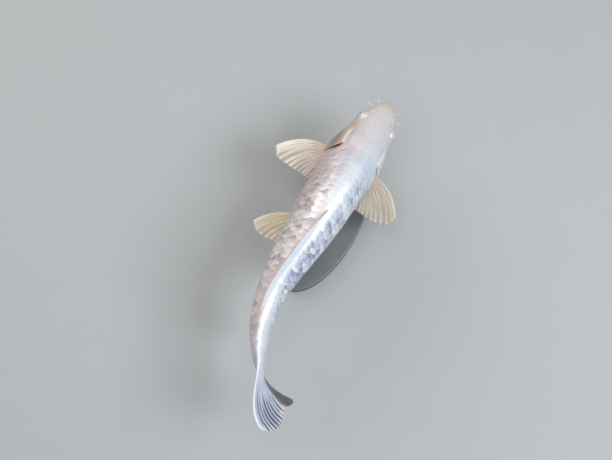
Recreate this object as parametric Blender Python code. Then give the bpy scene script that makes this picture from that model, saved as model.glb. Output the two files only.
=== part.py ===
"""A life-size koi carp, turning gently as it swims, on a plain display stand.

The body is drawn straight and level first: a share of the body length from the snout tip, a distance to the
left and a distance up. One function, placed(), then bends, banks and twists every point into the pose.
+X is the way the fish heads, +Y its left and +Z up. The origin is the middle of the stand's underside.
"""

import math
from dataclasses import dataclass

import bmesh
import bpy
import numpy as np

# Driving dimensions, in metres and degrees. What is called a share is a share of BODY_LENGTH.
BODY_LENGTH = 0.415  # snout tip to the last scale; the tail fin adds a fifth
SPINE_HEIGHT = 0.128  # floor to the line from snout tip to tail
BALANCE_SHARE = 0.43  # the share of the body that stands over the origin
GAP = 0.0004  # clearance between neighbouring solids

# The pose: the rear third swings to the fish's right, and the body banks to the right while the tail
# fin twists back the other way.
TURN_START, TURN_END, TURN_MOST = 0.62, 1.08, 40.0
FIN_TURN_START, FIN_TURN_END, FIN_TURN = 0.99, 1.22, 28.0
HEAD_TURN, HEAD_TURN_START, HEAD_TURN_END = -2.5, 0.35, 0.05  # the head turns a little to the right
BANK, BANK_START, BANK_END = 13.0, 0.50, 0.95
FIN_BANK, FIN_BANK_START, FIN_BANK_END = -38.0, 0.97, 1.17

# Body outline as (share along, share out) stations: half width seen from above, back and belly from the side.
HALF_WIDTH = (
    (0.0, 0.0), (0.01, 0.0265), (0.022, 0.0375), (0.05, 0.0507), (0.09, 0.0627), (0.12, 0.0712), (0.16, 0.0838),
    (0.20, 0.0935), (0.235, 0.0980), (0.28, 0.0960), (0.35, 0.0918), (0.42, 0.0885), (0.485, 0.0838),
    (0.58, 0.0730), (0.66, 0.0622), (0.74, 0.0520), (0.82, 0.0430), (0.90, 0.0320), (1.0, 0.0150),
)
BACK = (
    (0.0, 0.0), (0.01, 0.0200), (0.022, 0.0300), (0.05, 0.0460), (0.10, 0.0690), (0.15, 0.0890), (0.20, 0.1075),
    (0.27, 0.1300), (0.35, 0.1490), (0.43, 0.1560), (0.52, 0.1500), (0.62, 0.1310), (0.72, 0.1070),
    (0.82, 0.0830), (0.90, 0.0680), (1.0, 0.0620),
)
BELLY = (
    (0.0, 0.0), (0.01, 0.0175), (0.022, 0.0270), (0.05, 0.0420), (0.10, 0.0605), (0.17, 0.0820), (0.25, 0.1030),
    (0.34, 0.1200), (0.44, 0.1280), (0.54, 0.1245), (0.64, 0.1100), (0.74, 0.0870), (0.82, 0.0670),
    (0.90, 0.0560), (1.0, 0.0560),
)
# How square each half of the cross-section is: 1 is an ellipse, and less is flatter and fuller.
BACK_SQUARENESS = ((0.0, 0.95), (0.08, 0.80), (0.18, 0.84), (0.32, 0.98), (1.0, 1.0))
BELLY_SQUARENESS = ((0.0, 0.95), (0.12, 0.80), (0.50, 0.80), (0.80, 0.92), (1.0, 1.0))

# The gill opening: rings of the body bow back along the flank here, and the head ends on one of them.
GILL_RING = 0.185
GILL_BOW = 0.075
GILL_SPREAD_FRONT, GILL_SPREAD_REAR = 0.085, 0.16
COVER_FRONT_RING = 0.120
COVER_TOP, COVER_BOTTOM = 37.0, -58.0  # angles up the flank
COVER_STEP, COVER_EDGE = 0.3, 1.0  # slope of its hollow's edge and clearance inside it, as angles
COVER_DEPTH = 0.0036
GILL_GAP = 0.0007  # clearance along the body between head and trunk, whose meeting faces slant
CAP_SHARES = (0.78, 0.55, 0.28)

EYE_SHARE, EYE_OUT, EYE_UP, EYE_RADIUS = 0.098, 0.0515, 0.0300, 0.0220
BROW_SWELL, BROW_SPREAD = 0.0095, 0.030
JAW_REAR, JAW_TOP = 0.052, -0.012

BARBELS = (
    ("corner", (0.036, 0.038, -0.0195), (-0.25, 1.0, -0.1), 0.036, 0.0011),
    ("upper", (0.0150, 0.0265, -0.0085), (-0.35, 1.0, -0.2), 0.022, 0.0008),
)
BARBEL_SAG, BARBEL_TAPER = 0.3, 0.6

TRUNK_SPLIT, STALK_SPLIT = 0.50, 0.80

BODY_SIDES = 32

BASE_LENGTH, BASE_WIDTH, BASE_THICK, BASE_EDGE = 0.200, 0.090, 0.012, 0.0020
ROD_RADIUS, ROD_FOOT_RADIUS, ROD_FOOT_HEIGHT, ROD_FOOT_STEP = 0.0040, 0.0085, 0.006, 0.0036
ROD_SHARES = (0.335, 0.625)


def curve_through(stations):
    """A smooth curve through (share, value) stations, taken over the root of the share so that a snout is blunt."""
    knots = np.sqrt([share for share, _ in stations])
    values = np.array([value for _, value in stations])
    slopes = np.gradient(values, knots)

    def value_at(share):
        knot = np.sqrt(np.clip(share, 0.0, 1.0))
        i = np.clip(np.searchsorted(knots, knot) - 1, 0, len(knots) - 2)
        width = knots[i + 1] - knots[i]
        t = (knot - knots[i]) / width
        return (
            values[i] * (1 + 2 * t) * (1 - t) ** 2
            + slopes[i] * width * t * (1 - t) ** 2
            + values[i + 1] * t * t * (3 - 2 * t)
            + slopes[i + 1] * width * t * t * (t - 1)
        )

    return value_at


half_width = curve_through(HALF_WIDTH)
back_height = curve_through(BACK)
belly_depth = curve_through(BELLY)
back_squareness = curve_through(BACK_SQUARENESS)
belly_squareness = curve_through(BELLY_SQUARENESS)


def eased(low, high, value):
    """0 below low, 1 above high, and a smooth step between them."""
    t = np.clip((value - low) / (high - low), 0.0, 1.0)
    return t * t * (3 - 2 * t)


def turn_at(share):
    """How far the heading has swung to the left of +X at this share of the body, in radians."""
    turn = TURN_MOST * eased(TURN_START, TURN_END, share)
    turn = turn + FIN_TURN * eased(FIN_TURN_START, FIN_TURN_END, share)
    return np.radians(turn + HEAD_TURN * (1 - eased(HEAD_TURN_END, HEAD_TURN_START, share)))


def bank_at(share):
    """How far the back leans to the fish's right at this share of the body, in radians."""
    bank = BANK * (1 - eased(BANK_START, BANK_END, share))
    return np.radians(bank + FIN_BANK * eased(FIN_BANK_START, FIN_BANK_END, share))


SPINE_SHARES = np.linspace(-0.1, 1.4, 601)
SPINE_STEPS = np.diff(SPINE_SHARES) * BODY_LENGTH
SPINE_TURNS = turn_at((SPINE_SHARES[1:] + SPINE_SHARES[:-1]) / 2)
SPINE_X = np.concatenate([[0.0], -np.cumsum(np.cos(SPINE_TURNS) * SPINE_STEPS)])
SPINE_Y = np.concatenate([[0.0], -np.cumsum(np.sin(SPINE_TURNS) * SPINE_STEPS)])
SPINE_X -= np.interp(BALANCE_SHARE, SPINE_SHARES, SPINE_X)


def placed(points):
    """Straight-fish points (share, left, up), all three as shares of the body length, as points in the pose."""
    share, left, up = np.moveaxis(np.asarray(points, float), -1, 0)
    turn, bank = turn_at(share), bank_at(share)
    across = (left * np.cos(bank) - up * np.sin(bank)) * BODY_LENGTH
    height = (left * np.sin(bank) + up * np.cos(bank)) * BODY_LENGTH
    x = np.interp(share, SPINE_SHARES, SPINE_X) - across * np.sin(turn)
    y = np.interp(share, SPINE_SHARES, SPINE_Y) + across * np.cos(turn)
    return np.stack([x, y, SPINE_HEIGHT + height], axis=-1)


def gill_bow(ring):
    """How far a ring bows back along the flank, most at the gill opening."""
    spread = np.where(ring < GILL_RING, GILL_SPREAD_FRONT, GILL_SPREAD_REAR)
    return GILL_BOW * np.exp(-(((ring - GILL_RING) / spread) ** 2))


def skin(ring, angle, inset=0.0, shrink=1.0):
    """A straight-fish point on the body: angle 0 is the left flank and 90 degrees the back.

    inset is a depth in metres below the skin, and shrink draws the ring in towards its middle. The bow of a
    ring follows how far out a point lies, so that a shrunken ring stays on one surface with its rim.
    """
    ring, angle, inset = np.broadcast_arrays(ring, np.radians(angle), inset)
    out, up = np.cos(angle), np.sin(angle)
    squareness = np.where(up > 0, back_squareness(ring), belly_squareness(ring))
    side = np.sign(out) * np.abs(out) ** squareness
    share = ring + gill_bow(ring) * side**2
    height = np.where(up > 0, back_height(share), belly_depth(share))
    left = half_width(share) * side
    rise = height * up
    brow = np.exp(-((share - EYE_SHARE) ** 2 + (rise - EYE_UP) ** 2) / BROW_SPREAD**2)
    left = left + BROW_SWELL * brow * out
    slope_out = out / np.maximum(half_width(share), 1e-4)
    slope_up = up / np.maximum(height, 1e-4)
    slope = np.hypot(slope_out, slope_up)
    depth = inset / BODY_LENGTH
    left = (left - depth * slope_out / slope) * shrink
    rise = (rise - depth * slope_up / slope) * shrink
    reach = np.minimum(np.abs(left) / np.maximum(half_width(share), 1e-4), np.abs(side))
    return np.stack([ring + gill_bow(ring) * reach**2, left, rise], axis=-1)


def mesh_object(name, points, faces):
    """A smooth-shaded object from points and faces, with near points merged and its faces pointing out."""
    mesh = bpy.data.meshes.new(name)
    mesh.from_pydata([tuple(p) for p in np.reshape(points, (-1, 3))], [], faces)
    form = bmesh.new()
    form.from_mesh(mesh)
    bmesh.ops.remove_doubles(form, verts=form.verts, dist=1e-6)
    bmesh.ops.recalc_face_normals(form, faces=form.faces)
    form.to_mesh(mesh)
    form.free()
    mesh.shade_smooth()
    mesh.set_sharp_from_angle(angle=math.radians(50))
    obj = bpy.data.objects.new(name, mesh)
    bpy.context.scene.collection.objects.link(obj)
    return obj


def loft(name, rings):
    """A closed body through equal rings of posed points, each end fanned to a middle point."""
    count = len(rings[0])
    points = [p for ring in rings for p in ring]
    faces = []
    for i in range(len(rings) - 1):
        for j in range(count):
            k = (j + 1) % count
            faces.append((i * count + j, (i + 1) * count + j, (i + 1) * count + k, i * count + k))
    for ring, first in ((rings[0], 0), (rings[-1], (len(rings) - 1) * count)):
        points.append(np.mean(ring, axis=0))
        for j in range(count):
            faces.append((first + j, first + (j + 1) % count, len(points) - 1))
    return mesh_object(name, points, faces)


def plate(name, upper, lower):
    """A thin closed body between two equal grids of posed points."""
    rows, columns = upper.shape[:2]
    under = rows * columns
    faces = []
    for i in range(rows - 1):
        for j in range(columns - 1):
            quad = (i * columns + j, i * columns + j + 1, (i + 1) * columns + j + 1, (i + 1) * columns + j)
            faces.append(quad)
            faces.append(tuple(under + corner for corner in reversed(quad)))
    rim = list(range(columns))
    rim += [i * columns + columns - 1 for i in range(1, rows)]
    rim += [(rows - 1) * columns + j for j in reversed(range(columns - 1))]
    rim += [i * columns for i in reversed(range(1, rows - 1))]
    for here, there in zip(rim, rim[1:] + rim[:1]):
        faces.append((here, under + here, under + there, there))
    return mesh_object(name, np.concatenate([upper.reshape(-1, 3), lower.reshape(-1, 3)]), faces)


def ring_shares(low, high, steps):
    """Ring positions from low to high, closer together towards the snout."""
    return np.linspace(math.sqrt(low), math.sqrt(high), steps + 1) ** 2


def body_length_piece(name, low, high, steps, bowed_front=False):
    """A length of the plain body between two rings."""
    angles = np.arange(BODY_SIDES) * 360 / BODY_SIDES
    front = [placed(skin(low, angles, shrink=share)) for share in reversed(CAP_SHARES)] if bowed_front else []
    return loft(name, front + [placed(skin(ring, angles)) for ring in np.linspace(low, high, steps + 1)])


def cover_columns():
    """Angles of the head's columns, with two close together at each edge of a gill cover, and which are sunk."""
    plain = np.arange(BODY_SIDES) * 360 / BODY_SIDES
    columns = []
    for low, high in ((COVER_BOTTOM, COVER_TOP), (180 - COVER_TOP, 180 - COVER_BOTTOM)):
        inside = [angle for angle in (*plain - 360, *plain) if low < angle < high]
        columns += [(low - COVER_STEP, False), (low + COVER_STEP, True)]
        columns += [(angle, True) for angle in inside]
        columns += [(high - COVER_STEP, True), (high + COVER_STEP, False)]
    taken = {round(angle % 360, 3) for angle, _ in columns}
    columns += [(angle, False) for angle in plain if round(angle, 3) not in taken]
    columns = sorted((angle % 360, under) for angle, under in columns)
    angles, sunk = zip(*columns)
    return np.array(angles), np.array(sunk)


def head_rings():
    """The head's rings from snout to gill opening, sunk where the gill covers lie, then its bowed rear."""
    angles, sunk = cover_columns()
    hollow = np.where(sunk, COVER_DEPTH + GAP, 0.0)
    rings = [skin(ring, angles) for ring in ring_shares(0.0003, COVER_FRONT_RING, 13)]
    rings += [skin(ring, angles, hollow) for ring in np.linspace(COVER_FRONT_RING, GILL_RING, 5)]
    rings += [skin(GILL_RING, angles, shrink=share) for share in CAP_SHARES]
    return [placed(ring) for ring in rings]


def gill_cover(name, mirrored):
    """A plate that fills its hollow in the side of the head, flush with the skin."""
    plain = np.arange(BODY_SIDES) * 360 / BODY_SIDES - 180
    inside = [a for a in plain if COVER_BOTTOM < a < COVER_TOP]
    angles = np.array([COVER_BOTTOM + COVER_EDGE, *inside, COVER_TOP - COVER_EDGE])
    if mirrored:
        angles = 180 - angles
    rings = np.linspace(COVER_FRONT_RING + GAP / BODY_LENGTH, GILL_RING, 6)
    outer, inner = (placed(skin(rings[:, None], angles[None, :], depth)) for depth in (0.0, COVER_DEPTH))
    return plate(name, outer, inner)


def eye(name, side):
    """An eyeball, set in a socket that clears it all round."""
    bpy.ops.mesh.primitive_uv_sphere_add(
        segments=16, ring_count=10, radius=EYE_RADIUS * BODY_LENGTH,
        location=placed((EYE_SHARE, side * EYE_OUT, EYE_UP)),
    )
    ball = bpy.context.object
    ball.name = name
    ball.rotation_euler.x = math.radians(90)
    ball.data.shade_smooth()
    return ball


def helper(obj):
    """Marks an object as a cutter, which is not part of the fish."""
    obj.hide_render = True
    obj.display_type = "WIRE"
    return obj


def combine(obj, cutter, operation="DIFFERENCE"):
    """Cuts obj by cutter, or keeps only what lies in it."""
    modifier = obj.modifiers.new(operation.lower(), "BOOLEAN")
    modifier.object = cutter
    modifier.operation = operation
    modifier.solver = "EXACT"


def jaw_block(name, clearance):
    """The wedge of the head below the mouth slit, in front of the jaw's hinge."""
    rear, top = JAW_REAR + clearance / BODY_LENGTH, JAW_TOP + clearance / BODY_LENGTH
    shares = (-0.03, rear)
    rings = [
        placed([(share, -0.09, -0.12), (share, 0.09, -0.12), (share, 0.09, top), (share, -0.09, top)])
        for share in shares
    ]
    return helper(loft(name, rings))


@dataclass
class Fin:
    """A fin as a fan of rays from a root line. Points and lengths are shares of the body length, angles degrees.

    A ray leaves its root at an angle from `out` towards the tail, and its angle grows by `curve` to its tip.
    """

    root_front: tuple
    root_rear: tuple
    out: tuple
    sweep: tuple  # the angles of the first and the last ray
    lengths: tuple  # (place between the first and last ray, length) stations
    curve: tuple  # what the first and last rays' angles gain by their tips
    cup: float = 0.0  # how far the middle of the fan stands out of its plane
    droop: float = 0.0  # how far the tips bend out of the plane
    back: tuple = (1.0, 0.0, 0.0)
    root_thick: float = 0.0026
    tip_thick: float = 0.0007
    fade: float = 2.2  # how fast the thickness falls from root to tip
    rays: int = 10
    steps: int = 8
    ridge_lift: float = 0.0  # when set, the root line follows the back this far above it

    def grid(self, first, last):
        """Straight-fish points of rays by steps, with the fan's normal and thickness, for a share of the fan."""
        across = np.linspace(first, last, self.rays + 1)[:, None]
        along = np.linspace(0, 1, self.steps + 1)[None, :]
        out, back = np.array(self.out, float), np.array(self.back, float)
        out /= np.linalg.norm(out)
        back /= np.linalg.norm(back)
        normal = np.cross(back, out)
        root = np.array(self.root_front) + across[..., None] * np.subtract(self.root_rear, self.root_front)
        if self.ridge_lift:
            root[..., 2] = back_height(root[..., 0]) + self.ridge_lift
        places, values = zip(*self.lengths)
        length = np.interp(across, places, values)
        bend = self.curve[0] + across * (self.curve[1] - self.curve[0])
        angle = np.radians(self.sweep[0] + across * (self.sweep[1] - self.sweep[0]) + bend * along / 2)
        reach = (length * along)[..., None]
        points = root + reach * (np.cos(angle)[..., None] * out + np.sin(angle)[..., None] * back)
        stand = self.cup * np.sin(math.pi * across) * along + self.droop * along**2
        points = points + stand[..., None] * normal
        thick = self.tip_thick + (self.root_thick - self.tip_thick) * (1 - along) ** self.fade
        return points, normal, np.broadcast_to(thick, points.shape[:2]) / BODY_LENGTH

    def build(self, name, cutter=None, first=0.0, last=1.0):
        """The fin, or a share of it, as a closed solid in the pose, trimmed clear of the body by the cutter."""
        points, normal, thick = self.grid(first, last)
        half = thick[..., None] * normal / 2
        fin = plate(name, placed(points + half), placed(points - half))
        if cutter:
            combine(fin, cutter)
        return fin


def mirrored_fin(fin, **changes):
    """The fin of the other side, with any changes of pose."""
    swapped = {
        field: tuple(np.array(getattr(fin, field)) * (1, -1, 1)) for field in ("root_front", "root_rear", "out")
    }
    values = {**fin.__dict__, **swapped, "cup": -fin.cup, "droop": -fin.droop, **changes}
    return Fin(**values)


PECTORAL = Fin(
    root_front=(0.226, 0.062, -0.060), root_rear=(0.268, 0.046, -0.078), out=(0.0, 1.0, -0.16),
    sweep=(-10.0, 96.0), curve=(74.0, 6.0), droop=-0.006, cup=0.010,
    lengths=((0.0, 0.206), (0.12, 0.198), (0.30, 0.152), (0.45, 0.126), (0.75, 0.090), (1.0, 0.062)),
)
RIGHT_PECTORAL_CHANGES = {
    "sweep": (-24.0, 90.0),
    "curve": (88.0, 6.0),
    "lengths": ((0.0, 0.206), (0.15, 0.202), (0.30, 0.172), (0.45, 0.140), (0.75, 0.092), (1.0, 0.062)),
}
PELVIC = Fin(
    root_front=(0.462, 0.030, -0.110), root_rear=(0.496, 0.016, -0.110), out=(0.0, 1.0, -0.22),
    sweep=(8.0, 84.0), curve=(56.0, 4.0), droop=-0.004, cup=0.006,
    lengths=((0.0, 0.172), (0.15, 0.168), (0.5, 0.125), (1.0, 0.075)),
)
DORSAL = Fin(
    root_front=(0.452, 0.0, 0.149), root_rear=(0.785, 0.0, 0.086), out=(0.0, 0.46, 0.89),
    sweep=(60.0, 66.0), curve=(16.0, 8.0), back=(1.0, 0.0, -0.14),
    lengths=((0.0, 0.100), (0.12, 0.118), (0.4, 0.110), (0.8, 0.080), (1.0, 0.052)),
    root_thick=0.0014, rays=16, ridge_lift=0.0026,
)
RIGHT_PELVIC_CHANGES = {"out": (0.0, -0.55, -1.0), "sweep": (44.0, 82.0)}
ANAL = Fin(
    root_front=(0.752, 0.0, -0.078), root_rear=(0.836, 0.0, -0.060), out=(0.0, 0.0, -1.0),
    sweep=(38.0, 66.0), curve=(16.0, 4.0),
    lengths=((0.0, 0.118), (0.25, 0.120), (0.6, 0.088), (1.0, 0.055)),
    root_thick=0.0030,
)
TAIL = Fin(
    root_front=(1.0, 0.0, 0.0585), root_rear=(1.0, 0.0, -0.0525), out=(0.0, 0.0, 1.0),
    sweep=(62.0, 112.0), curve=(12.0, -14.0), droop=0.030, cup=0.030,
    lengths=(
        (0.0, 0.200), (0.1, 0.214), (0.2, 0.215), (0.3, 0.203), (0.4, 0.184), (0.5, 0.160), (0.6, 0.162),
        (0.75, 0.162), (0.9, 0.154), (1.0, 0.140),
    ),
    root_thick=0.0100, fade=9.0, rays=8, steps=10,
)
TAIL_FORK_GAP = 0.012  # the slot between the tail's two lobes, as a share of its fan


def barbel(name, root, heading, length, root_radius, cutter):
    """A whisker: a tapering tube that leaves along heading and sinks towards its tip."""
    sides = np.arange(8) / 8 * math.tau
    heading = np.array(heading) / np.linalg.norm(heading)
    across = np.cross(heading, (0.0, 0.0, 1.0))
    across /= np.linalg.norm(across)
    above = np.cross(across, heading)
    rings = []
    for along in np.linspace(0, 1, 7):
        sag = BARBEL_SAG * along**2 * np.array((0.0, 0.0, 1.0))
        middle = np.array(root) + length * (along * heading - sag)
        radius = root_radius * (1 - BARBEL_TAPER * along) / BODY_LENGTH
        rings.append(placed([middle + radius * (math.cos(t) * across + math.sin(t) * above) for t in sides]))
    whisker = loft(name, rings)
    combine(whisker, cutter)
    return whisker


def stand_base():
    """A flat oval plate with eased edges, under the middle of the body."""
    bpy.ops.mesh.primitive_cylinder_add(vertices=36, radius=0.5, depth=BASE_THICK, location=(0, 0, BASE_THICK / 2))
    base = bpy.context.object
    base.name = "stand_base"
    base.scale = (BASE_LENGTH, BASE_WIDTH, 1)
    bpy.ops.object.transform_apply(location=False, rotation=False, scale=True)
    bevel = base.modifiers.new("eased_edge", "BEVEL")
    bevel.width = BASE_EDGE
    bevel.segments = 2
    bevel.limit_method = "ANGLE"
    bevel.angle_limit = math.radians(60)
    return base


def stand_rod(name, share, cutter):
    """A short rod with a small round foot, from the base up to the belly."""
    x, y, _ = placed((share, 0.0, -belly_depth(share)))
    bottom = BASE_THICK + GAP
    profile = (
        (ROD_FOOT_RADIUS, bottom),
        (ROD_FOOT_RADIUS, bottom + ROD_FOOT_STEP),
        (ROD_RADIUS, bottom + ROD_FOOT_HEIGHT),
        (ROD_RADIUS, SPINE_HEIGHT),
    )
    turns = np.arange(20) / 20 * math.tau
    rings = [
        [(x + radius * math.cos(t), y + radius * math.sin(t), height) for t in turns]
        for radius, height in profile
    ]
    rod = loft(name, rings)
    combine(rod, cutter)
    return rod


def material(name, colour, roughness, metallic=0.0):
    """A plain finish."""
    made = bpy.data.materials.new(name)
    made.use_nodes = True
    shader = made.node_tree.nodes["Principled BSDF"]
    shader.inputs["Base Color"].default_value = (*colour, 1.0)
    shader.inputs["Roughness"].default_value = roughness
    shader.inputs["Metallic"].default_value = metallic
    return made


def build():
    """Clears the scene and makes every piece."""
    for obj in list(bpy.data.objects):
        bpy.data.objects.remove(obj)

    angles = np.arange(BODY_SIDES) * 360 / BODY_SIDES
    whole_rings = [placed(skin(ring, angles, -GAP)) for ring in ring_shares(0.0001, 1.0, 40)]
    whole = helper(loft("body_clearance", whole_rings))

    head = loft("head", head_rings())
    lower_jaw = loft("lower_jaw", head_rings())
    combine(head, jaw_block("jaw_clearance", GAP))
    combine(lower_jaw, jaw_block("jaw_wedge", 0.0), "INTERSECT")
    flesh = [head, lower_jaw]
    step = GAP / BODY_LENGTH
    flesh.append(body_length_piece("trunk_front", GILL_RING + GILL_GAP / BODY_LENGTH, TRUNK_SPLIT, 9, True))
    flesh.append(body_length_piece("trunk_rear", TRUNK_SPLIT + step, STALK_SPLIT, 8))
    flesh.append(body_length_piece("tail_stalk", STALK_SPLIT + step, 1.0 - step, 7))
    eyes = []
    for side, word in ((1, "left"), (-1, "right")):
        flesh.append(gill_cover(f"gill_cover_{word}", side < 0))
        ball = eye(f"eye_{word}", side)
        socket = helper(eye(f"socket_{word}", side))
        socket.scale = (1 + GAP / EYE_RADIUS / BODY_LENGTH,) * 3
        combine(head, socket)
        eyes.append(ball)
        for place, root, heading, length, radius in BARBELS:
            root, heading = np.multiply(root, (1, side, 1)), np.multiply(heading, (1, side, 1))
            flesh.append(barbel(f"barbel_{place}_{word}", root, heading, length, radius, whole))

    fins = [
        PECTORAL.build("pectoral_fin_left", whole),
        mirrored_fin(PECTORAL, **RIGHT_PECTORAL_CHANGES).build("pectoral_fin_right", whole),
        PELVIC.build("pelvic_fin_left", whole),
        mirrored_fin(PELVIC, **RIGHT_PELVIC_CHANGES).build("pelvic_fin_right", whole),
        DORSAL.build("dorsal_fin"),
        ANAL.build("anal_fin", whole),
        TAIL.build("tail_fin_upper", last=0.5 - TAIL_FORK_GAP / 2),
        TAIL.build("tail_fin_lower", first=0.5 + TAIL_FORK_GAP / 2),
    ]

    stand = [stand_base()]
    stand += [stand_rod(f"stand_rod_{word}", share, whole) for word, share in zip(("front", "rear"), ROD_SHARES)]

    finishes = (
        (flesh, material("silver_white_skin", (0.78, 0.76, 0.76), 0.35)),
        (fins, material("cream_fin", (0.80, 0.72, 0.60), 0.45)),
        (eyes, material("dark_eye", (0.05, 0.05, 0.06), 0.1)),
        (stand, material("stand_grey", (0.12, 0.12, 0.13), 0.5)),
    )
    for objects, finish in finishes:
        for obj in objects:
            obj.data.materials.append(finish)


build()
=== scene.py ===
"""A life-size silver-white koi carp, turning gently as it swims, on a plain display stand.

Every part of the fish is first drawn on a straight, level fish: a share of the body length behind the snout,
then a distance to the left and a distance up, both as shares of the body length. The pose bends, banks and
twists those points into place, in metres, with +X the way the fish heads, +Y its left and +Z up.
"""

import logging
import math
from dataclasses import dataclass, field, replace
from enum import Enum

import bpy
import numpy as np
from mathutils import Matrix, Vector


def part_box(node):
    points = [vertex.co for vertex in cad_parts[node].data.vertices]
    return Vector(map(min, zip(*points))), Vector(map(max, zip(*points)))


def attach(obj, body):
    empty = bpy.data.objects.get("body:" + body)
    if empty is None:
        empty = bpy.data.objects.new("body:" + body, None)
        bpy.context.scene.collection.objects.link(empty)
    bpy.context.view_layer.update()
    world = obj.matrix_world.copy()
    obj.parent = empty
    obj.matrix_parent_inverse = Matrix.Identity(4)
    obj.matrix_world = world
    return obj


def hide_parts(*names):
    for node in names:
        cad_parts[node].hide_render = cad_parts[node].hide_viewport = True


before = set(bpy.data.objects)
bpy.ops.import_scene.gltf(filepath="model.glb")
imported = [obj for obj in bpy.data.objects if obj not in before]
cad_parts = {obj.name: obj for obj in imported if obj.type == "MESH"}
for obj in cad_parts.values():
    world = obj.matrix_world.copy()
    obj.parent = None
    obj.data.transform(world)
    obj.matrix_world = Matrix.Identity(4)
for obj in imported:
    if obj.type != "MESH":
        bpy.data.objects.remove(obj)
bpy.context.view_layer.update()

log = logging.getLogger("koi")

Array = np.ndarray
Span = tuple[float, float]
Point = tuple[float, float, float]
Stretch = tuple[float, float, float, float]
Colour = tuple[float, float, float]
Profile = list[Span]
Socket = bpy.types.NodeSocket
Tree = bpy.types.NodeTree
Material = bpy.types.Material
Piece = bpy.types.Object

MM = 0.001
BODY_LENGTH = 0.415  # snout tip to the last scale
COAT_DEPTH = 0.7 * MM  # how far the skin lies under the outline that the scales reach
HEAD_DEPTH = 0.18 * MM  # the same on the head, which has no scales
BODY = "root"
ORIGIN: Point = (0.0, 0.0, 0.0)
UP: Point = (0.0, 0.0, 1.0)
SCALED = ("trunk_front", "trunk_rear", "tail_stalk")  # the nodes under the scales
BAKE_MAP = "OFBake"
HIDDEN_PLACE = 0.05  # where the skin's closed end lies on it
SEED = 41


def eased(low: float, high: float, value: Array) -> Array:
    """0 below low, 1 above high, and a smooth step between them."""
    t = np.clip((value - low) / (high - low), 0.0, 1.0)
    return t * t * (3 - 2 * t)


def bell(distance: Array, width: float | Array) -> Array:
    """A smooth bump of height 1 that falls away over width."""
    return np.exp(-((distance / width) ** 2))


def swell(distance: Array, size: Span) -> Array:
    """A smooth bump of height size[0] that falls away over size[1]."""
    return size[0] * bell(distance, size[1])


def between(span: Span, share: Array) -> Array:
    """The value at a share of the way from the first of a pair to the last."""
    return span[0] + (span[1] - span[0]) * share


def over(stretch: Stretch, value: Array) -> Array:
    """1 between the middle two of four values, and 0 beyond the outer two."""
    return eased(*stretch[:2], value) * (1 - eased(*stretch[2:], value))


def unit(vector: Point | Array) -> Array:
    """A vector's direction."""
    return np.asarray(vector, float) / np.linalg.norm(vector)


@dataclass(frozen=True)
class Curve:
    """A smooth curve through (share, value) stations, over the root of the share so that a snout is blunt."""

    stations: tuple[Span, ...]

    def __call__(self, share: Array) -> Array:
        """The curve at some places.

        Args:
            share: shares of the body length.

        Returns:
            The values there.
        """
        knots = np.sqrt([place for place, _ in self.stations])
        values = np.array([value for _, value in self.stations])
        slopes = np.gradient(values, knots)
        knot = np.sqrt(np.clip(share, 0.0, 1.0))
        i = np.clip(np.searchsorted(knots, knot) - 1, 0, len(knots) - 2)
        width = knots[i + 1] - knots[i]
        t = (knot - knots[i]) / width
        return (
            values[i] * (1 + 2 * t) * (1 - t) ** 2
            + slopes[i] * width * t * (1 - t) ** 2
            + values[i + 1] * t * t * (3 - 2 * t)
            + slopes[i + 1] * width * t * t * (t - 1)
        )


@dataclass
class Pose:
    """The bend, bank and twist that carry a straight fish into its turn. Each is (start, end, degrees)."""

    spine_height: float = 0.128
    balance_share: float = 0.43  # the share of the body that lies over the origin
    turn: Point = (0.62, 1.08, 40.0)
    fin_turn: Point = (0.99, 1.22, 28.0)
    head_turn: Point = (0.05, 0.35, -2.5)
    bank: Point = (0.50, 0.95, 13.0)
    fin_bank: Point = (0.97, 1.17, -38.0)

    def __post_init__(self) -> None:
        """Works out the line of the spine once."""
        self.shares = np.linspace(-0.1, 1.4, 601)
        steps = np.diff(self.shares) * BODY_LENGTH
        turns = self.turn_at((self.shares[1:] + self.shares[:-1]) / 2)
        self.x = np.concatenate([[0.0], -np.cumsum(np.cos(turns) * steps)])
        self.y = np.concatenate([[0.0], -np.cumsum(np.sin(turns) * steps)])
        self.x -= np.interp(self.balance_share, self.shares, self.x)

    def turn_at(self, share: Array) -> Array:
        """The heading's swing to the left of +X.

        Args:
            share: shares of the body length behind the snout.

        Returns:
            Angles in radians.
        """
        turn = self.turn[2] * eased(*self.turn[:2], share)
        turn = turn + self.fin_turn[2] * eased(*self.fin_turn[:2], share)
        return np.radians(turn + self.head_turn[2] * (1 - eased(*self.head_turn[:2], share)))

    def bank_at(self, share: Array) -> Array:
        """The lean of the back to the fish's right, in radians."""
        bank = self.bank[2] * (1 - eased(*self.bank[:2], share))
        return np.radians(bank + self.fin_bank[2] * eased(*self.fin_bank[:2], share))

    def placed(self, points: Array) -> Array:
        """Straight-fish points carried into the pose.

        Args:
            points: (..., 3) shares of the body length: behind the snout, to the left and up.

        Returns:
            (..., 3) points in metres.
        """
        share, left, up = np.moveaxis(np.asarray(points, float), -1, 0)
        turn, bank = self.turn_at(share), self.bank_at(share)
        across = (left * np.cos(bank) - up * np.sin(bank)) * BODY_LENGTH
        height = (left * np.sin(bank) + up * np.cos(bank)) * BODY_LENGTH
        x = np.interp(share, self.shares, self.x) - across * np.sin(turn)
        y = np.interp(share, self.shares, self.y) + across * np.cos(turn)
        return np.stack([x, y, self.spine_height + height], axis=-1)


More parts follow.
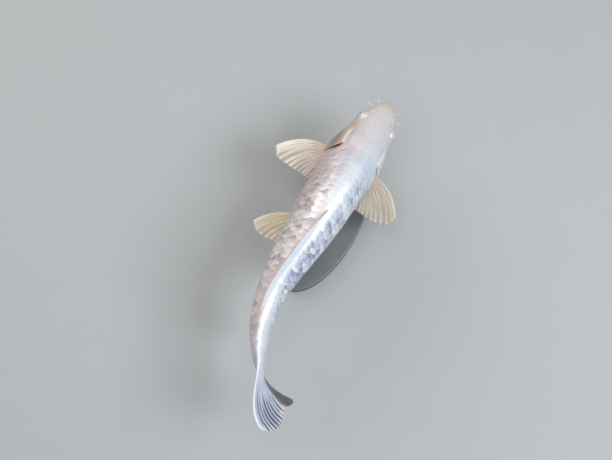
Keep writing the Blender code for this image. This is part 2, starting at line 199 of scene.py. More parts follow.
@dataclass(frozen=True)
class GillSlit:
    """The opening behind the gill cover. Angles run in degrees from -90 at the belly to 90 at the back."""

    top: Span = (41.0, 52.0)  # it closes between these
    narrows: Span = (14.0, 34.0)
    narrow: float = 0.40  # how open it is below there
    bottom: Span = (-82.0, -64.0)
    right_share: float = 0.45  # how open the right one is beside the left
    depth: float = 2.8 * MM
    reach: float = 0.026  # how far back the shoulder stays sunk, as a share of the body length

    def opening(self, angle: Array) -> Array:
        """How open the slit is round the body.

        Args:
            angle: degrees round the body, 0 at the left flank and 90 at the back.

        Returns:
            Values from 0 to 1.
        """
        folded = fold(angle)
        on_left = eased(-0.2, 0.2, np.cos(np.radians(angle)))
        open_by = over((*self.bottom, *self.top), folded)
        open_by = open_by * between((self.narrow, 1.0), eased(*self.narrows, folded))
        return open_by * between((self.right_share, 1.0), on_left)


@dataclass(frozen=True)
class BodyForm:
    """The outline of the body: half width, back and belly, and how square its sections are."""

    half_width: Curve = Curve((
        (0.0, 0.0), (0.01, 0.0265), (0.022, 0.0375), (0.05, 0.0507), (0.09, 0.0627), (0.12, 0.0712),
        (0.16, 0.0838), (0.20, 0.0935), (0.235, 0.0980), (0.28, 0.0960), (0.35, 0.0918), (0.42, 0.0885),
        (0.485, 0.0838), (0.58, 0.0730), (0.66, 0.0622), (0.74, 0.0520), (0.82, 0.0430), (0.90, 0.0320),
        (1.0, 0.0150),
    ))
    back: Curve = Curve((
        (0.0, 0.0), (0.01, 0.0200), (0.022, 0.0300), (0.05, 0.0460), (0.10, 0.0690), (0.15, 0.0890),
        (0.20, 0.1075), (0.27, 0.1300), (0.35, 0.1490), (0.43, 0.1560), (0.52, 0.1500), (0.62, 0.1310),
        (0.72, 0.1070), (0.82, 0.0830), (0.90, 0.0680), (1.0, 0.0620),
    ))
    belly: Curve = Curve((
        (0.0, 0.0), (0.01, 0.0175), (0.022, 0.0270), (0.05, 0.0420), (0.10, 0.0605), (0.17, 0.0820),
        (0.25, 0.1030), (0.34, 0.1200), (0.44, 0.1280), (0.54, 0.1245), (0.64, 0.1100), (0.74, 0.0870),
        (0.82, 0.0670), (0.90, 0.0560), (1.0, 0.0560),
    ))
    back_squareness: Curve = Curve(((0.0, 0.95), (0.08, 0.80), (0.18, 0.84), (0.32, 0.98), (1.0, 1.0)))
    belly_squareness: Curve = Curve(((0.0, 0.95), (0.12, 0.80), (0.50, 0.80), (0.80, 0.92), (1.0, 1.0)))
    gill_ring: float = 0.185
    gill_bow: float = 0.075
    gill_spread: Span = (0.085, 0.16)  # how far ahead of the opening and behind it the rings still bow
    gill_slit: GillSlit = GillSlit()
    eye: Point = (0.098, 0.0515, 0.0300)
    eye_axis: Point = (-0.14, 1.0, 0.12)
    eye_radius: float = 0.0220
    brow: Span = (0.0095, 0.030)  # its height and spread
    tail_end: float = 1.036  # the flesh thins out over the roots of the tail's rays to here
    tail_left: float = 0.045  # the share of its thickness that is left there
    tail_flare: float = 0.85  # how much of the rays' spread it follows
    tail_root: Point = (0.99, 0.0575, -0.0515)  # the rays' share, and the heights of the first and the last
    tail_slopes: Span = (0.53, -0.40)  # how steeply the first ray rises and the last one falls
    tail_reach: tuple[tuple[float, ...], tuple[float, ...]] = (
        (0.0, 0.1, 0.2, 0.3, 0.4, 0.5, 0.75, 1.0), (0.184, 0.204, 0.212, 0.205, 0.190, 0.168, 0.166, 0.137),
    )
    tail_bend: Span = (0.030, 0.030)  # its cup and its droop
    pose: Pose = field(default_factory=Pose)

    def bow(self, ring: Array) -> Array:
        """How far a ring bows back along the flank, most at the gill opening."""
        spread = np.where(ring < self.gill_ring, *self.gill_spread)
        return self.gill_bow * bell(ring - self.gill_ring, spread)

    def straight(self, ring: Array, angle: Array) -> Array:
        """Straight-fish points on the body's outline.

        Args:
            ring: where along the body, as a share of its length, before the ring bows back.
            angle: degrees round the body, 0 at the left flank and 90 at the back.

        Returns:
            (..., 3) shares of the body length.
        """
        ring, angle = np.broadcast_arrays(ring, np.radians(angle))
        out, up = np.cos(angle), np.sin(angle)
        squareness = np.where(up > 0, self.back_squareness(ring), self.belly_squareness(ring))
        side = np.sign(out) * np.abs(out) ** squareness
        share = ring + self.bow(ring) * side**2
        past = self.tail_flare * np.maximum(share - 1.0, 0.0)
        above = self.back(share) + self.tail_slopes[0] * past
        below = self.belly(share) - self.tail_slopes[1] * past
        rise = np.where(up > 0, above, below) * up
        thin = 1 - (1 - self.tail_left) * eased(1.0, self.tail_end, share)
        left = self.half_width(share) * side * thin
        left = left + swell(np.hypot(share - self.eye[0], rise - self.eye[2]), self.brow) * out
        return np.stack([share, left - self.tail_sway(share, rise), rise], axis=-1)

    def tail_sway(self, share: Array, rise: Array) -> Array:
        """How far the end of the flesh leans to the right with the cupped tail.

        Args:
            share: shares of the body length behind the snout.
            rise: heights there, in the same measure.

        Returns:
            Shares of the body length.
        """
        root, top, bottom = self.tail_root
        first, last = self.tail_slopes
        past = np.maximum(share - root, 0.0)
        across = np.clip((top + first * past - rise) / (top - bottom + (first - last) * past), 0.0, 1.0)
        along = past / np.interp(across, *self.tail_reach)
        cup, droop = self.tail_bend
        return cup * np.sin(math.pi * across) * along + droop * along**2

    def surface(self, ring: Array, angle: Array) -> tuple[Array, Array]:
        """The outline in its pose.

        Args:
            ring: ring places.
            angle: angles round the body.

        Returns:
            Points in metres, and the unit normals that point out of the body there.
        """
        ring, angle = np.broadcast_arrays(np.asarray(ring, float), np.asarray(angle, float))
        step, turn = 1e-4, 0.05

        def posed(ring: Array, angle: Array) -> Array:
            """A point of the outline in its pose."""
            return self.pose.placed(self.straight(ring, angle))

        along = posed(ring + step, angle) - posed(np.maximum(ring - step, 1e-6), angle)
        normal = np.cross(along, posed(ring, angle + turn) - posed(ring, angle - turn))
        normal /= np.maximum(np.linalg.norm(normal, axis=-1, keepdims=True), 1e-15)
        return posed(ring, angle), normal

    def slit_depth(self, ring: Array, angle: Array) -> Array:
        """How far the shoulder lies under the outline just behind the gill slit, in metres."""
        behind = (np.asarray(ring) - self.gill_ring) / self.gill_slit.reach
        return self.gill_slit.opening(angle) * self.gill_slit.depth * (1 - eased(0.0, 1.0, behind))


# ----------------------------------------------------------------------------------------------- meshes


def fold(angle: Array) -> Array:
    """An angle round the body as -90 at the belly to 90 at the back, the same on both sides."""
    return np.degrees(np.arcsin(np.clip(np.sin(np.radians(angle)), -1, 1)))


def grid_faces(rows: int, columns: int, first: int = 0, flip: bool = False) -> Array:
    """The quads of a grid of points.

    Args:
        rows: points down the grid.
        columns: points across it.
        first: the index of its first point.
        flip: turns every face over.

    Returns:
        (n, 4) indices.
    """
    i, j = np.indices((rows - 1, columns - 1)).reshape(2, -1)
    corner = first + i * columns + j
    quads = np.stack([corner, corner + 1, corner + columns + 1, corner + columns], axis=-1)
    return quads[:, ::-1] if flip else quads


def plate_faces(rows: int, columns: int) -> Array:
    """The quads of a thin closed plate: an upper grid, a lower grid and the rim that joins them.

    Args:
        rows: points down each grid.
        columns: points across each grid.

    Returns:
        (n, 4) indices.
    """
    top = np.arange(columns)
    right = np.arange(1, rows) * columns + columns - 1
    bottom = (rows - 1) * columns + np.arange(columns - 2, -1, -1)
    left = np.arange(rows - 2, 0, -1) * columns
    rim = np.concatenate([top, right, bottom, left])
    after, under = np.roll(rim, -1), rows * columns
    wall = np.stack([rim, rim + under, after + under, after], axis=-1)
    return np.concatenate([grid_faces(rows, columns), grid_faces(rows, columns, under, flip=True), wall])


def ring_faces(rows: int, columns: int, flip: bool = False) -> tuple[list[list[int]], Array]:
    """The faces of a closed stack of rings: quads from ring to ring, and one face over each end.

    Args:
        rows: the number of rings.
        columns: the number of points in a ring.
        flip: turns every face over.

    Returns:
        The faces, and each of their corners' places on the bake map, with the ends beside the sides.
    """
    order = -1 if flip else 1
    i, j = np.indices((rows - 1, columns)).reshape(2, -1)
    steps = ((0, 0), (0, 1), (1, 1), (1, 0))[::order]
    quads = np.stack([(i + down) * columns + (j + on) % columns for down, on in steps], axis=-1)
    margin, radius = 0.02, 0.008
    sides = [
        np.stack([(j + on) / columns, margin + (1 - margin) * (i + down) / (rows - 1)], axis=-1)
        for down, on in steps
    ]
    first, last = np.arange(columns)[::-order], np.arange(columns)[::order]
    ends = []
    for middle, end in ((margin / 2, first), (3 * margin / 2, last)):
        turn = end / columns * math.tau
        ends.append(np.stack([middle + radius * np.cos(turn), margin / 2 + radius * np.sin(turn)], axis=-1))
    faces = quads.tolist() + [first.tolist(), (last + (rows - 1) * columns).tolist()]
    return faces, np.concatenate([np.stack(sides, axis=1).reshape(-1, 2), *ends])


def make_object(
    name: str, points: Array, faces: list | Array, uv: Array, attributes: dict[str, Array],
    material: Material, creases: float = 60.0,
) -> Piece:
    """A smooth-shaded mesh object with a bake map and point attributes.

    Args:
        name: the piece's name.
        points: (..., 3) points in metres.
        faces: corner indices of each face.
        uv: one place on the bake map for each point, or for each face corner.
        attributes: numbers or vectors, one for each point, by name.
        material: the piece's finish.
        creases: edges sharper than this many degrees are shaded sharp.

    Returns:
        The linked object.
    """
    mesh = bpy.data.meshes.new(name)
    faces = faces if isinstance(faces, list) else faces.tolist()
    mesh.from_pydata(points.reshape(-1, 3).tolist(), [], faces)
    corners = np.zeros(len(mesh.loops), np.int32)
    mesh.loops.foreach_get("vertex_index", corners)
    uv = np.asarray(uv, np.float32).reshape(-1, 2)
    per_corner = uv if len(uv) == len(corners) else uv[corners]
    mesh.uv_layers.new(name=BAKE_MAP).data.foreach_set("uv", per_corner.ravel())
    for key, values in attributes.items():
        values = np.asarray(values, np.float32)
        kind, slot = ("FLOAT_VECTOR", "vector") if values.ndim > 1 else ("FLOAT", "value")
        mesh.attributes.new(key, kind, "POINT").data.foreach_set(slot, values.ravel())
    mesh.materials.append(material)
    mesh.shade_smooth()
    mesh.set_sharp_from_angle(angle=math.radians(creases))
    return linked(name, mesh)


def linked(name: str, data: bpy.types.ID) -> Piece:
    """A new object in the scene.

    Args:
        name: its name.
        data: its mesh, light or camera.

    Returns:
        The object.
    """
    made = bpy.data.objects.new(name, data)
    bpy.context.scene.collection.objects.link(made)
    return made


def hand_over(piece: Piece, slot: str, *nodes: str) -> Piece:
    """Puts a piece on the body, in place of its CAD nodes.

    Args:
        piece: the piece.
        slot: a material slot's name; not used.
        nodes: the nodes that it stands for.

    Returns:
        The piece.
    """
    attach(piece, BODY)
    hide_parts(*nodes)
    log.info("%s: %d faces", piece.name, len(piece.data.polygons))
    return piece


# --------------------------------------------------------------------------------------------- finishes


@dataclass(frozen=True, eq=False)
class Signal:
    """A node's output, written like a number: *, + and - place Math nodes."""

    graph: "Graph"
    socket: Socket

    def __mul__(self, other: "Signal | float") -> "Signal":
        """The product."""
        return self.graph.math("MULTIPLY", self, other)

    def __add__(self, other: "Signal | float") -> "Signal":
        """The sum."""
        return self.graph.math("ADD", self, other)

    def __sub__(self, other: "Signal | float") -> "Signal":
        """The difference."""
        return self.graph.math("SUBTRACT", self, other)

    def band(self, low: float, high: float, first: float = 0.0, last: float = 1.0) -> "Signal":
        """A smooth step from first to last as this goes from low to high."""
        values = dict(enumerate((self, low, high, first, last)))
        return self.graph.signal("ShaderNodeMapRange", values, interpolation_type="SMOOTHSTEP", clamp=True)

    def within(self, low: float, high: float) -> "Signal":
        """1 where this lies between low and high, with soft borders half as wide again."""
        soft = (high - low) / 2
        return self.band(low - soft, low) * self.band(high + soft, high)


Coats = tuple[tuple[Signal, Signal | Colour], ...]
Look = tuple[Signal, Signal, Signal]


@dataclass(frozen=True)
class Graph:
    """A short way to write a node tree."""

    tree: Tree

    @classmethod
    def group(cls, name: str, **inputs: object) -> tuple["Graph", dict[str, Signal]]:
        """Starts a node group.

        Args:
            name: the group's name.
            inputs: default values by name; a tuple of three is a vector and of four a colour.

        Returns:
            The group's graph, and its inputs by name.
        """
        graph = cls(bpy.data.node_groups.new(name, "ShaderNodeTree"))
        kinds = {0: "NodeSocketFloat", 3: "NodeSocketVector", 4: "NodeSocketColor"}
        for key, value in inputs.items():
            kind = kinds[len(value) if isinstance(value, tuple) else 0]
            graph.tree.interface.new_socket(key, in_out="INPUT", socket_type=kind).default_value = value
        given = graph.node("NodeGroupInput", {}).outputs
        return graph, {key: Signal(graph, given[key]) for key in inputs}

    def close(self, **outputs: Signal) -> Tree:
        """Ends a node group.

        Args:
            outputs: what it gives, by name; Color is a colour and the others are numbers.

        Returns:
            The group.
        """
        for key in outputs:
            kind = "NodeSocketColor" if key == "Color" else "NodeSocketFloat"
            self.tree.interface.new_socket(key, in_out="OUTPUT", socket_type=kind)
        self.node("NodeGroupOutput", outputs)
        return self.tree

    def use(self, group: Tree, **values: object) -> dict[str, Signal]:
        """Puts a group here with its own values, and gives its outputs by name."""
        outputs = self.node("ShaderNodeGroup", values, node_tree=group).outputs
        return {output.name: Signal(self, output) for output in outputs}

    def node(self, kind: str, inputs: dict[str | int, object], **settings: object) -> bpy.types.Node:
        """Adds a node.

        Args:
            kind: the node's type name.
            inputs: signals or plain values by input name or index.
            settings: the node's own properties.

        Returns:
            The node.
        """
        made = self.tree.nodes.new(kind)
        for key, value in settings.items():
            setattr(made, key, value)
        for key, value in inputs.items():
            self.feed(made.inputs[key], value)
        return made

    def signal(self, kind: str, inputs: dict, output: str | int = 0, **settings: object) -> Signal:
        """A new node's output, as `node` adds it."""
        return Signal(self, self.node(kind, inputs, **settings).outputs[output])

    def feed(self, socket: Socket, value: object) -> None:
        """Links a socket to a signal, or sets it to a plain value.

        Args:
            socket: an input.
            value: a signal, a number, or three numbers.
        """
        if isinstance(value, Signal):
            self.tree.links.new(value.socket, socket)
        else:
            socket.default_value = (*value[:3], 1.0) if socket.type == "RGBA" else value

    def math(self, operation: str, *values: Signal | float) -> Signal:
        """A Math node's result."""
        return self.signal("ShaderNodeMath", dict(enumerate(values)), operation=operation)

    def mix(self, share: Signal, first: Signal | Colour, second: Signal | Colour) -> Signal:
        """A colour between two, by share, from the colour sockets of a Mix node."""
        values = {0: share, 6: first, 7: second}
        return self.signal("ShaderNodeMix", values, 2, data_type="RGBA", clamp_factor=True)

    def painted(self, ground: Signal, coats: Coats) -> Signal:
        """A colour with others laid over it.

        Args:
            ground: the first colour.
            coats: masks and the colours to lay on through them, in order.

        Returns:
            The colour.
        """
        for mask, colour in coats:
            ground = self.mix(mask, ground, colour)
        return ground

    def noise(
        self, place: Signal, scale: float | Signal, detail: float = 2.0, rough: float = 0.5,
        warp: float = 0.0,
    ) -> Signal:
        """A noise texture's value over a place."""
        values = {"Vector": place, "Scale": scale, "Detail": detail, "Roughness": rough, "Distortion": warp}
        return self.signal("ShaderNodeTexNoise", values)

    def attribute(self, name: str) -> Signal:
        """A number that the mesh holds at each point."""
        return self.signal("ShaderNodeAttribute", {}, "Fac", attribute_name=name)

    def vector(self, name: str) -> Signal:
        """A vector that the mesh holds at each point."""
        return self.signal("ShaderNodeAttribute", {}, "Vector", attribute_name=name)

    def split(self, place: Signal) -> list[Signal]:
        """The three parts of a vector."""
        return [Signal(self, part) for part in self.node("ShaderNodeSeparateXYZ", {0: place}).outputs]

    def joined(self, first: Signal, second: Signal) -> Signal:
        """A vector of two parts."""
        return self.signal("ShaderNodeCombineXYZ", {0: first, 1: second})


class Effects:
    """The effects that several finishes share, each a node group that is built once."""

    def __init__(self) -> None:
        """Builds the groups."""
        self.markings = self.koi_markings()
        self.grain = self.fine_grain()
        self.rays = self.fin_rays()

    @staticmethod
    def koi_markings() -> Tree:
        """The koi's colours by place on a straight fish, from its ground colour up, with painted light and
        shade.

        Returns:
            The group. It also gives a mask of the dark mottles, a mask of the sky-lit right side, and how
            strongly each scale's painted shade and highlight show there.
        """
        graph, given = Graph.group("koi_markings", Place=ORIGIN, Centre=ORIGIN, Tone=0.5, Mottling=1.0)
        place, centre = given["Place"], given["Centre"]
        share, left, up = graph.split(place)
        # Painted light: the right side is tinted bluish, as if lit by the sky, and the left warm, as if in
        # shade; this mask runs from the left side to the right.
        sky_lit_side = left.band(0.024, -0.024)
        drift = graph.noise(place, 11.0, 3.0, 0.55)

        # The pearly ground, warm on the shaded left side and bluish on the sky-lit right: painted light over
        # the koi's own silver white.
        shaded_side_pearl = graph.mix(share.band(0.55, 0.85), (0.685, 0.63, 0.655), (0.59, 0.535, 0.60))
        sky_lit_pearl = graph.mix(share.band(0.35, 0.75), (0.585, 0.635, 0.715), (0.47, 0.535, 0.69))
        # Painted sheen: broad drifting patches of lighter pearl, peach on the shaded side and bluish on the
        # sky-lit side.
        pale = graph.mix(sky_lit_side, (0.84, 0.785, 0.765), (0.81, 0.85, 0.90))
        pearl = graph.mix(drift.band(0.42, 0.66, 0.0, 0.6), graph.mix(sky_lit_side, shaded_side_pearl, sky_lit_pearl), pale)

        inward = share.band(0.42, 0.55) * share.band(0.80, 0.64) * -0.022 + left
        flanks = graph.math("MAXIMUM", left.band(0.004, 0.044), inward.band(-0.018, -0.046))
        mottling = share.band(0.225, 0.40) * flanks * given["Mottling"]
        patches = graph.noise(centre, 52.0, 2.0, 0.6, 0.2) * 0.62 + graph.noise(place, 44.0, 2.0, 0.6) * 0.38
        # Dark mottles: partly the koi's own grey scales and partly painted darker reflection; they are tinted
        # lilac on the shaded side and blue on the sky-lit side.
        mottle = (given["Tone"] * 0.14 + patches).band(0.54, 0.66) * mottling
        mottle = mottle * share.band(1.00, 0.80, 0.25, 1.0) * up.band(-0.075, 0.030, 0.45, 1.0)
        # Painted glints: single scales picked out bright white, strongest on the sky-lit side.
        painted_glints = graph.noise(centre, 75.0, 1.0).band(0.51, 0.58) * mottling * sky_lit_side.band(0.0, 1.0, 0.7, 0.95)
        # Painted highlight: a bright band along the back, wide before the dorsal fin and behind its front
        # only right of the midline.
        painted_back_highlight = (left - share.band(0.38, 0.47, 0.040, 0.010)).band(0.0, -0.014)
        painted_back_highlight = painted_back_highlight * inward.band(-0.052, -0.018) * share.band(0.20, 0.34)
        # Painted shade: a warm, rosy strip on the left of the back under the folded dorsal fin's edge.
        painted_shade_beside_fin = left.within(0.004, 0.024) * share.band(0.52, 0.62) * share.band(0.95, 0.85)
        shoulder = share.within(0.235, 0.355) * left.band(0.000, 0.034)
        # Painted shade: a brownish strip along the left flank's lower outline, over the middle of the body.
        painted_low_flank_shade = left.band(0.055, 0.092) * share.band(0.20, 0.34) * share.band(0.78, 0.56)

        # The head takes the same painted light: warm and shaded on the left, bluish and sky-lit on the right.
        head = graph.painted(graph.mix(sky_lit_side, (0.65, 0.61, 0.62), (0.615, 0.64, 0.69)), (
            (share.band(0.15, 0.05), (0.67, 0.635, 0.605)),
            (drift.band(0.36, 0.64, 0.0, 0.50), (0.62, 0.525, 0.515)),
            (graph.noise(place, 31.0, 4.0, 0.6, 0.4).band(0.48, 0.70, 0.0, 0.55), (0.72, 0.74, 0.77)),
            (graph.noise(place, 210.0, 2.0, 0.6).band(0.52, 0.66, 0.0, 0.22), (0.50, 0.475, 0.495)),
            (share.band(0.050, 0.012), (0.64, 0.57, 0.465)),
        ))
        cheek = left.band(0.044, 0.078) * share.band(0.085, 0.130) * share.band(0.285, 0.225)
        cheek = cheek * graph.noise(place, 17.0, 5.0, 0.62).band(0.25, 0.65, 0.70, 0.95)
        cream = left.band(-0.066, -0.084) * share.band(0.30, 0.20)
        # Where the flesh runs onto the tail the colour turns to that of the fin's roots: bluish white above,
        # and below a grey that is painted shade, as on the lower lobe.
        lobe_roots_lower_shaded = graph.mix(up.band(-0.010, 0.006), (0.40, 0.39, 0.39), (0.68, 0.71, 0.80))

        colour = graph.painted(pearl, (
            (mottle * 0.85, graph.mix(sky_lit_side, (0.395, 0.335, 0.395), (0.26, 0.295, 0.455))),
            (painted_glints, graph.mix(sky_lit_side, (0.93, 0.885, 0.865), (0.88, 0.91, 0.95))),
            (painted_back_highlight * 0.85, (0.83, 0.86, 0.90)),
            (painted_shade_beside_fin * 0.45, (0.70, 0.50, 0.42)),
            (shoulder * 0.38, (0.50, 0.445, 0.525)),
            (painted_low_flank_shade * 0.5, (0.44, 0.345, 0.30)),
            (up.band(-0.050, -0.100) * 0.75, (0.80, 0.75, 0.68)),
            (share.band(0.235, 0.165), head),
            (cheek, graph.mix(left.band(0.074, 0.092), (0.60, 0.42, 0.30), (0.23, 0.165, 0.105))),
            (cream * 0.7, (0.74, 0.65, 0.50)),
            (share.band(0.99, 1.03, 0.0, 0.9), lobe_roots_lower_shaded),
        ))
        # How strongly each scale's painted shade and edge highlight show: stronger where the flanks are
        # mottled.
        relief = mottling.band(0.0, 1.0, 0.22, 1.0)
        return graph.close(Color=colour, Mottle=mottle, Cool=sky_lit_side, Relief=relief)

    @staticmethod
    def fine_grain() -> Tree:
        """Fine unevenness of a surface.

        Returns:
            The group. It gives a height, and a broad mask for wear and roughness.
        """
        graph, given = Graph.group("fine_grain", Place=ORIGIN, Size=600.0, Depth=1.0)
        place, size = given["Place"], given["Size"]
        pores = graph.signal("ShaderNodeTexVoronoi", {"Vector": place, "Scale": size}, "Distance")
        height = (pores * 0.35 + graph.noise(place, size, 3.0)) * given["Depth"]
        return graph.close(Height=height, Wear=graph.noise(place, 22.0, 4.0, 0.6).band(0.25, 0.75))

    @staticmethod
    def fin_rays() -> Tree:
        """A fin's rays, the web between them and its dark gaps, which are painted shade.

        Returns:
            The group. It gives a colour, and a height with the rays' cross-joints.
        """
        graph, given = Graph.group(
            "fin_rays", Ray=0.0, Along=0.0, Across=0.0, Slot=0.0, Clear=0.5, Tint=(0.8, 0.72, 0.6, 1.0),
            Root=(0.8, 0.6, 0.4, 1.0), Web=(0.5, 0.5, 0.5, 1.0), Gap=(0.1, 0.1, 0.1, 1.0),
            Tip=(0.9, 0.88, 0.85, 1.0),
        )
        ray, along, web = given["Ray"], given["Along"], given["Web"]
        joints = graph.math("SINE", along * 330.0) * ray * along.band(0.2, 0.4)
        streaks = graph.noise(graph.joined(along * 1.6, given["Across"] * 34.0), 1.0, 3.0, 0.6)
        tint = graph.mix(along.band(0.45, 0.95, 0.0, 0.6), given["Tint"], given["Tip"])
        colour = graph.painted(tint, (
            (streaks.band(0.36, 0.66, 0.0, 0.45), web),
            (ray.band(0.80, 0.25) * along.band(0.06, 0.45) * given["Clear"], web),
            (along.band(0.38, 0.03), given["Root"]),
            (given["Slot"], given["Gap"]),
        ))
        return graph.close(Color=colour, Height=joints * 0.35 + streaks)


@dataclass(frozen=True)
class Finish:
    """A surface: what its Principled shader holds all over, and how its colour and bumps are made."""

    name: str
    roughness: float = 0.4
    drift: Span | None = None  # how far wear takes the roughness down and up, where it does
    metallic: float = 0.0
    coat: float = 0.0
    coat_roughness: float = 0.1
    bump: float = 0.2
    bump_distance: float = 0.4 * MM

    def look(self, graph: Graph, effects: Effects) -> Look:
        """The colour, the bumps' height and the mask of wear, as each kind of finish makes them."""
        raise NotImplementedError

    def make(self, effects: Effects) -> Material:
        """The material.

        Args:
            effects: the shared effects.

        Returns:
            The material, dressed and ready for a mesh.
        """
        material = bpy.data.materials.new(self.name)
        material.use_nodes = True
        graph = Graph(material.node_tree)
        colour, height, wear = self.look(graph, effects)
        bumps = {"Strength": self.bump, "Distance": self.bump_distance, "Height": height}
        rough = self.roughness
        if self.drift:
            rough = wear.band(0.0, 1.0, self.roughness - self.drift[0], self.roughness + self.drift[1])
        values = {
            "Base Color": colour, "Roughness": rough, "Metallic": self.metallic, "Coat Weight": self.coat,
            "Coat Roughness": self.coat_roughness, "Normal": graph.signal("ShaderNodeBump", bumps),
        }
        shader = material.node_tree.nodes["Principled BSDF"]
        for key, value in values.items():
            graph.feed(shader.inputs[key], value)
        return material


@dataclass(frozen=True)
class SkinFinish(Finish):
    """Bare head skin, matt and pinkish, which turns to a pearly ground under the scales."""

    # Painted highlight along the gill covers' ridges.
    ridge: Colour = (0.86, 0.85, 0.84)
    # Dark red in the mouth's groove, the nostrils and the gill slits: partly their own red and partly painted
    # shade in these hollows.
    red_and_shaded_hollows: Colour = (0.215, 0.098, 0.105)

    def look(self, graph: Graph, effects: Effects) -> Look:
        """The koi's colours, with a painted highlight along the gill covers' ridges and dark red in the
        mouth, nostrils and gill slits, partly painted shade.

        Args:
            graph: the material's graph.
            effects: the shared effects.

        Returns:
            The colour, the bumps' height and the mask of wear.
        """
        place = graph.vector("straight")
        marks = graph.use(effects.markings, Place=place, Centre=place, Tone=0.25, Mottling=0.6)
        grain = graph.use(effects.grain, Place=place, Size=420.0)
        coats = ((graph.attribute("ridge"), self.ridge), (graph.attribute("red_and_shaded_hollows"), self.red_and_shaded_hollows))
        return graph.painted(marks["Color"], coats), grain["Height"], grain["Wear"]


@dataclass(frozen=True)
class ScaleFinish(Finish):
    """Pearly scales: each has its own tone and tilt, painted shade where it comes out from under the scale
    ahead, a painted highlight along its free edge, and fine growth lines.
    """

    tilt: float = 46.0  # how far single scales turn out of the coat, as a height on the bump
    growth_lines: Span = (80.0, 0.06)  # how many and how high
    fan_lines: Span = (26.0, 0.18)

    def look(self, graph: Graph, effects: Effects) -> Look:
        """The koi's colours, with painted shade where each scale comes out from under the one ahead and a
        painted highlight along its free edge.

        Args:
            graph: the material's graph.
            effects: the shared effects.

        Returns:
            The colour, the bumps' height and the mask of wear.
        """
        place, centre = graph.vector("straight"), graph.vector("centre")
        outward, across, tone = graph.split(graph.vector("scale"))
        marks = graph.use(effects.markings, Place=place, Centre=centre, Tone=tone)
        grain = graph.use(effects.grain, Place=place, Size=900.0, Depth=0.4)
        sky_lit_side, relief = marks["Cool"], marks["Relief"]
        # Painted shade where each scale comes out from under the one ahead, and a painted highlight along its
        # free edge, both tinted by side.
        painted_pocket_shade = graph.mix(sky_lit_side, (0.33, 0.265, 0.275), (0.24, 0.29, 0.42))
        rim = graph.mix(sky_lit_side, (0.90, 0.82, 0.76), (0.90, 0.93, 0.97))
        colour = graph.painted(marks["Color"], (
            (outward.band(0.74, 0.36, 0.0, 0.46) * relief, painted_pocket_shade),
            (outward.band(0.84, 0.97, 0.0, 0.50) * relief, rim),
        ))
        lines = graph.math("SINE", outward * self.growth_lines[0]) * self.growth_lines[1]
        fans = graph.math("SINE", across * self.fan_lines[0]) * self.fan_lines[1]
        roll = (tone - 0.5) * self.tilt * across
        pitch = (graph.math("FRACT", tone * 7.3) - 0.5) * self.tilt * outward
        return colour, lines + fans + roll + pitch + grain["Height"], marks["Mottle"]


@dataclass(frozen=True, kw_only=True)
class FinFinish(Finish):
    """Rays and the web between them, with the fin's own colours."""

    roughness: float = 0.45
    drift: Span = (0.05, 0.08)
    coat: float = 0.1
    bump: float = 0.25
    tint: Colour  # of the rays
    root: Colour
    web: Colour
    # The dark in the gaps between rays is painted shade.
    gap: Colour
    edge: Colour
    front: Colour  # of the first ray
    tip: Colour = (0.90, 0.87, 0.82)
    clear: float = 0.75  # how much of the web shows between the rays

    def look(self, graph: Graph, effects: Effects) -> Look:
        """The rays' colours, with a border along the fin's edge and its first ray.

        Args:
            graph: the material's graph.
            effects: the shared effects.

        Returns:
            The colour, the bumps' height and the mask of wear.
        """
        ray, along, across = graph.split(graph.vector("fin"))
        slot = graph.attribute("slot")
        rays = graph.use(
            effects.rays, Ray=ray, Along=along, Across=across, Slot=slot, Clear=self.clear, Tint=self.tint,
            Root=self.root, Web=self.web, Gap=self.gap, Tip=self.tip,
        )
        colour = graph.painted(rays["Color"], (
            (along.band(0.955, 0.985) * slot.band(0.0, 0.6, 0.8, 0.0),
             graph.mix(across.band(0.50, 0.66), self.front, self.edge)),
            (across.band(0.045, 0.020, 0.0, 0.8), self.front),
        ))
        place = graph.vector("straight")
        grain = graph.use(effects.grain, Place=place, Size=500.0, Depth=0.3)
        return colour, rays["Height"] + grain["Height"], grain["Wear"]


@dataclass(frozen=True)
class EyeFinish(Finish):
    """A polished eye: black pupil, thin gold ring, silver iris with fine spokes, and a pale rim."""

    pupil: float = 0.33  # shares of the visible eye's radius
    ring: float = 0.40
    iris: float = 0.80

    def look(self, graph: Graph, effects: Effects) -> Look:
        """The rings of the eye from its rim in to its pupil.

        Args:
            graph: the material's graph.
            effects: the shared effects.

        Returns:
            The colour, the bumps' height and the mask of wear.
        """
        reach, turn, _ = graph.split(graph.vector("eye"))
        spokes = graph.noise(graph.joined(reach, turn * 9.0), 3.0, 4.0, 0.6)
        iris = graph.mix(spokes.band(0.35, 0.65), (0.40, 0.385, 0.355), (0.66, 0.645, 0.60))
        colour = graph.painted(iris, (
            (reach.band(self.iris, self.ring + 0.08, 0.0, 0.55), (0.58, 0.44, 0.20)),
            (reach.band(self.iris - 0.10, self.iris + 0.12), (0.60, 0.58, 0.58)),
            (reach.band(self.ring + 0.025, self.ring - 0.01), (0.66, 0.52, 0.26)),
            (reach.band(self.pupil + 0.02, self.pupil - 0.01), (0.006, 0.006, 0.008)),
        ))
        return colour, spokes * reach.band(self.pupil, self.ring), spokes


@dataclass(frozen=True)
class BarbelFinish(Finish):
    """Soft pale feelers, rosier at the root."""

    def look(self, graph: Graph, effects: Effects) -> Look:
        """The feeler's colour from root to tip, with rosy patches.

        Args:
            graph: the material's graph.
            effects: the shared effects.

        Returns:
            The colour, the bumps' height and the mask of wear.
        """
        grain = graph.use(effects.grain, Place=graph.vector("straight"), Size=900.0)
        pale = graph.mix(graph.attribute("along").band(0.0, 0.6), (0.78, 0.62, 0.52), (0.84, 0.78, 0.68))
        colour = graph.mix(grain["Wear"].band(0.2, 0.9, 0.0, 0.3), pale, (0.70, 0.55, 0.45))
        return colour, grain["Height"], grain["Wear"]


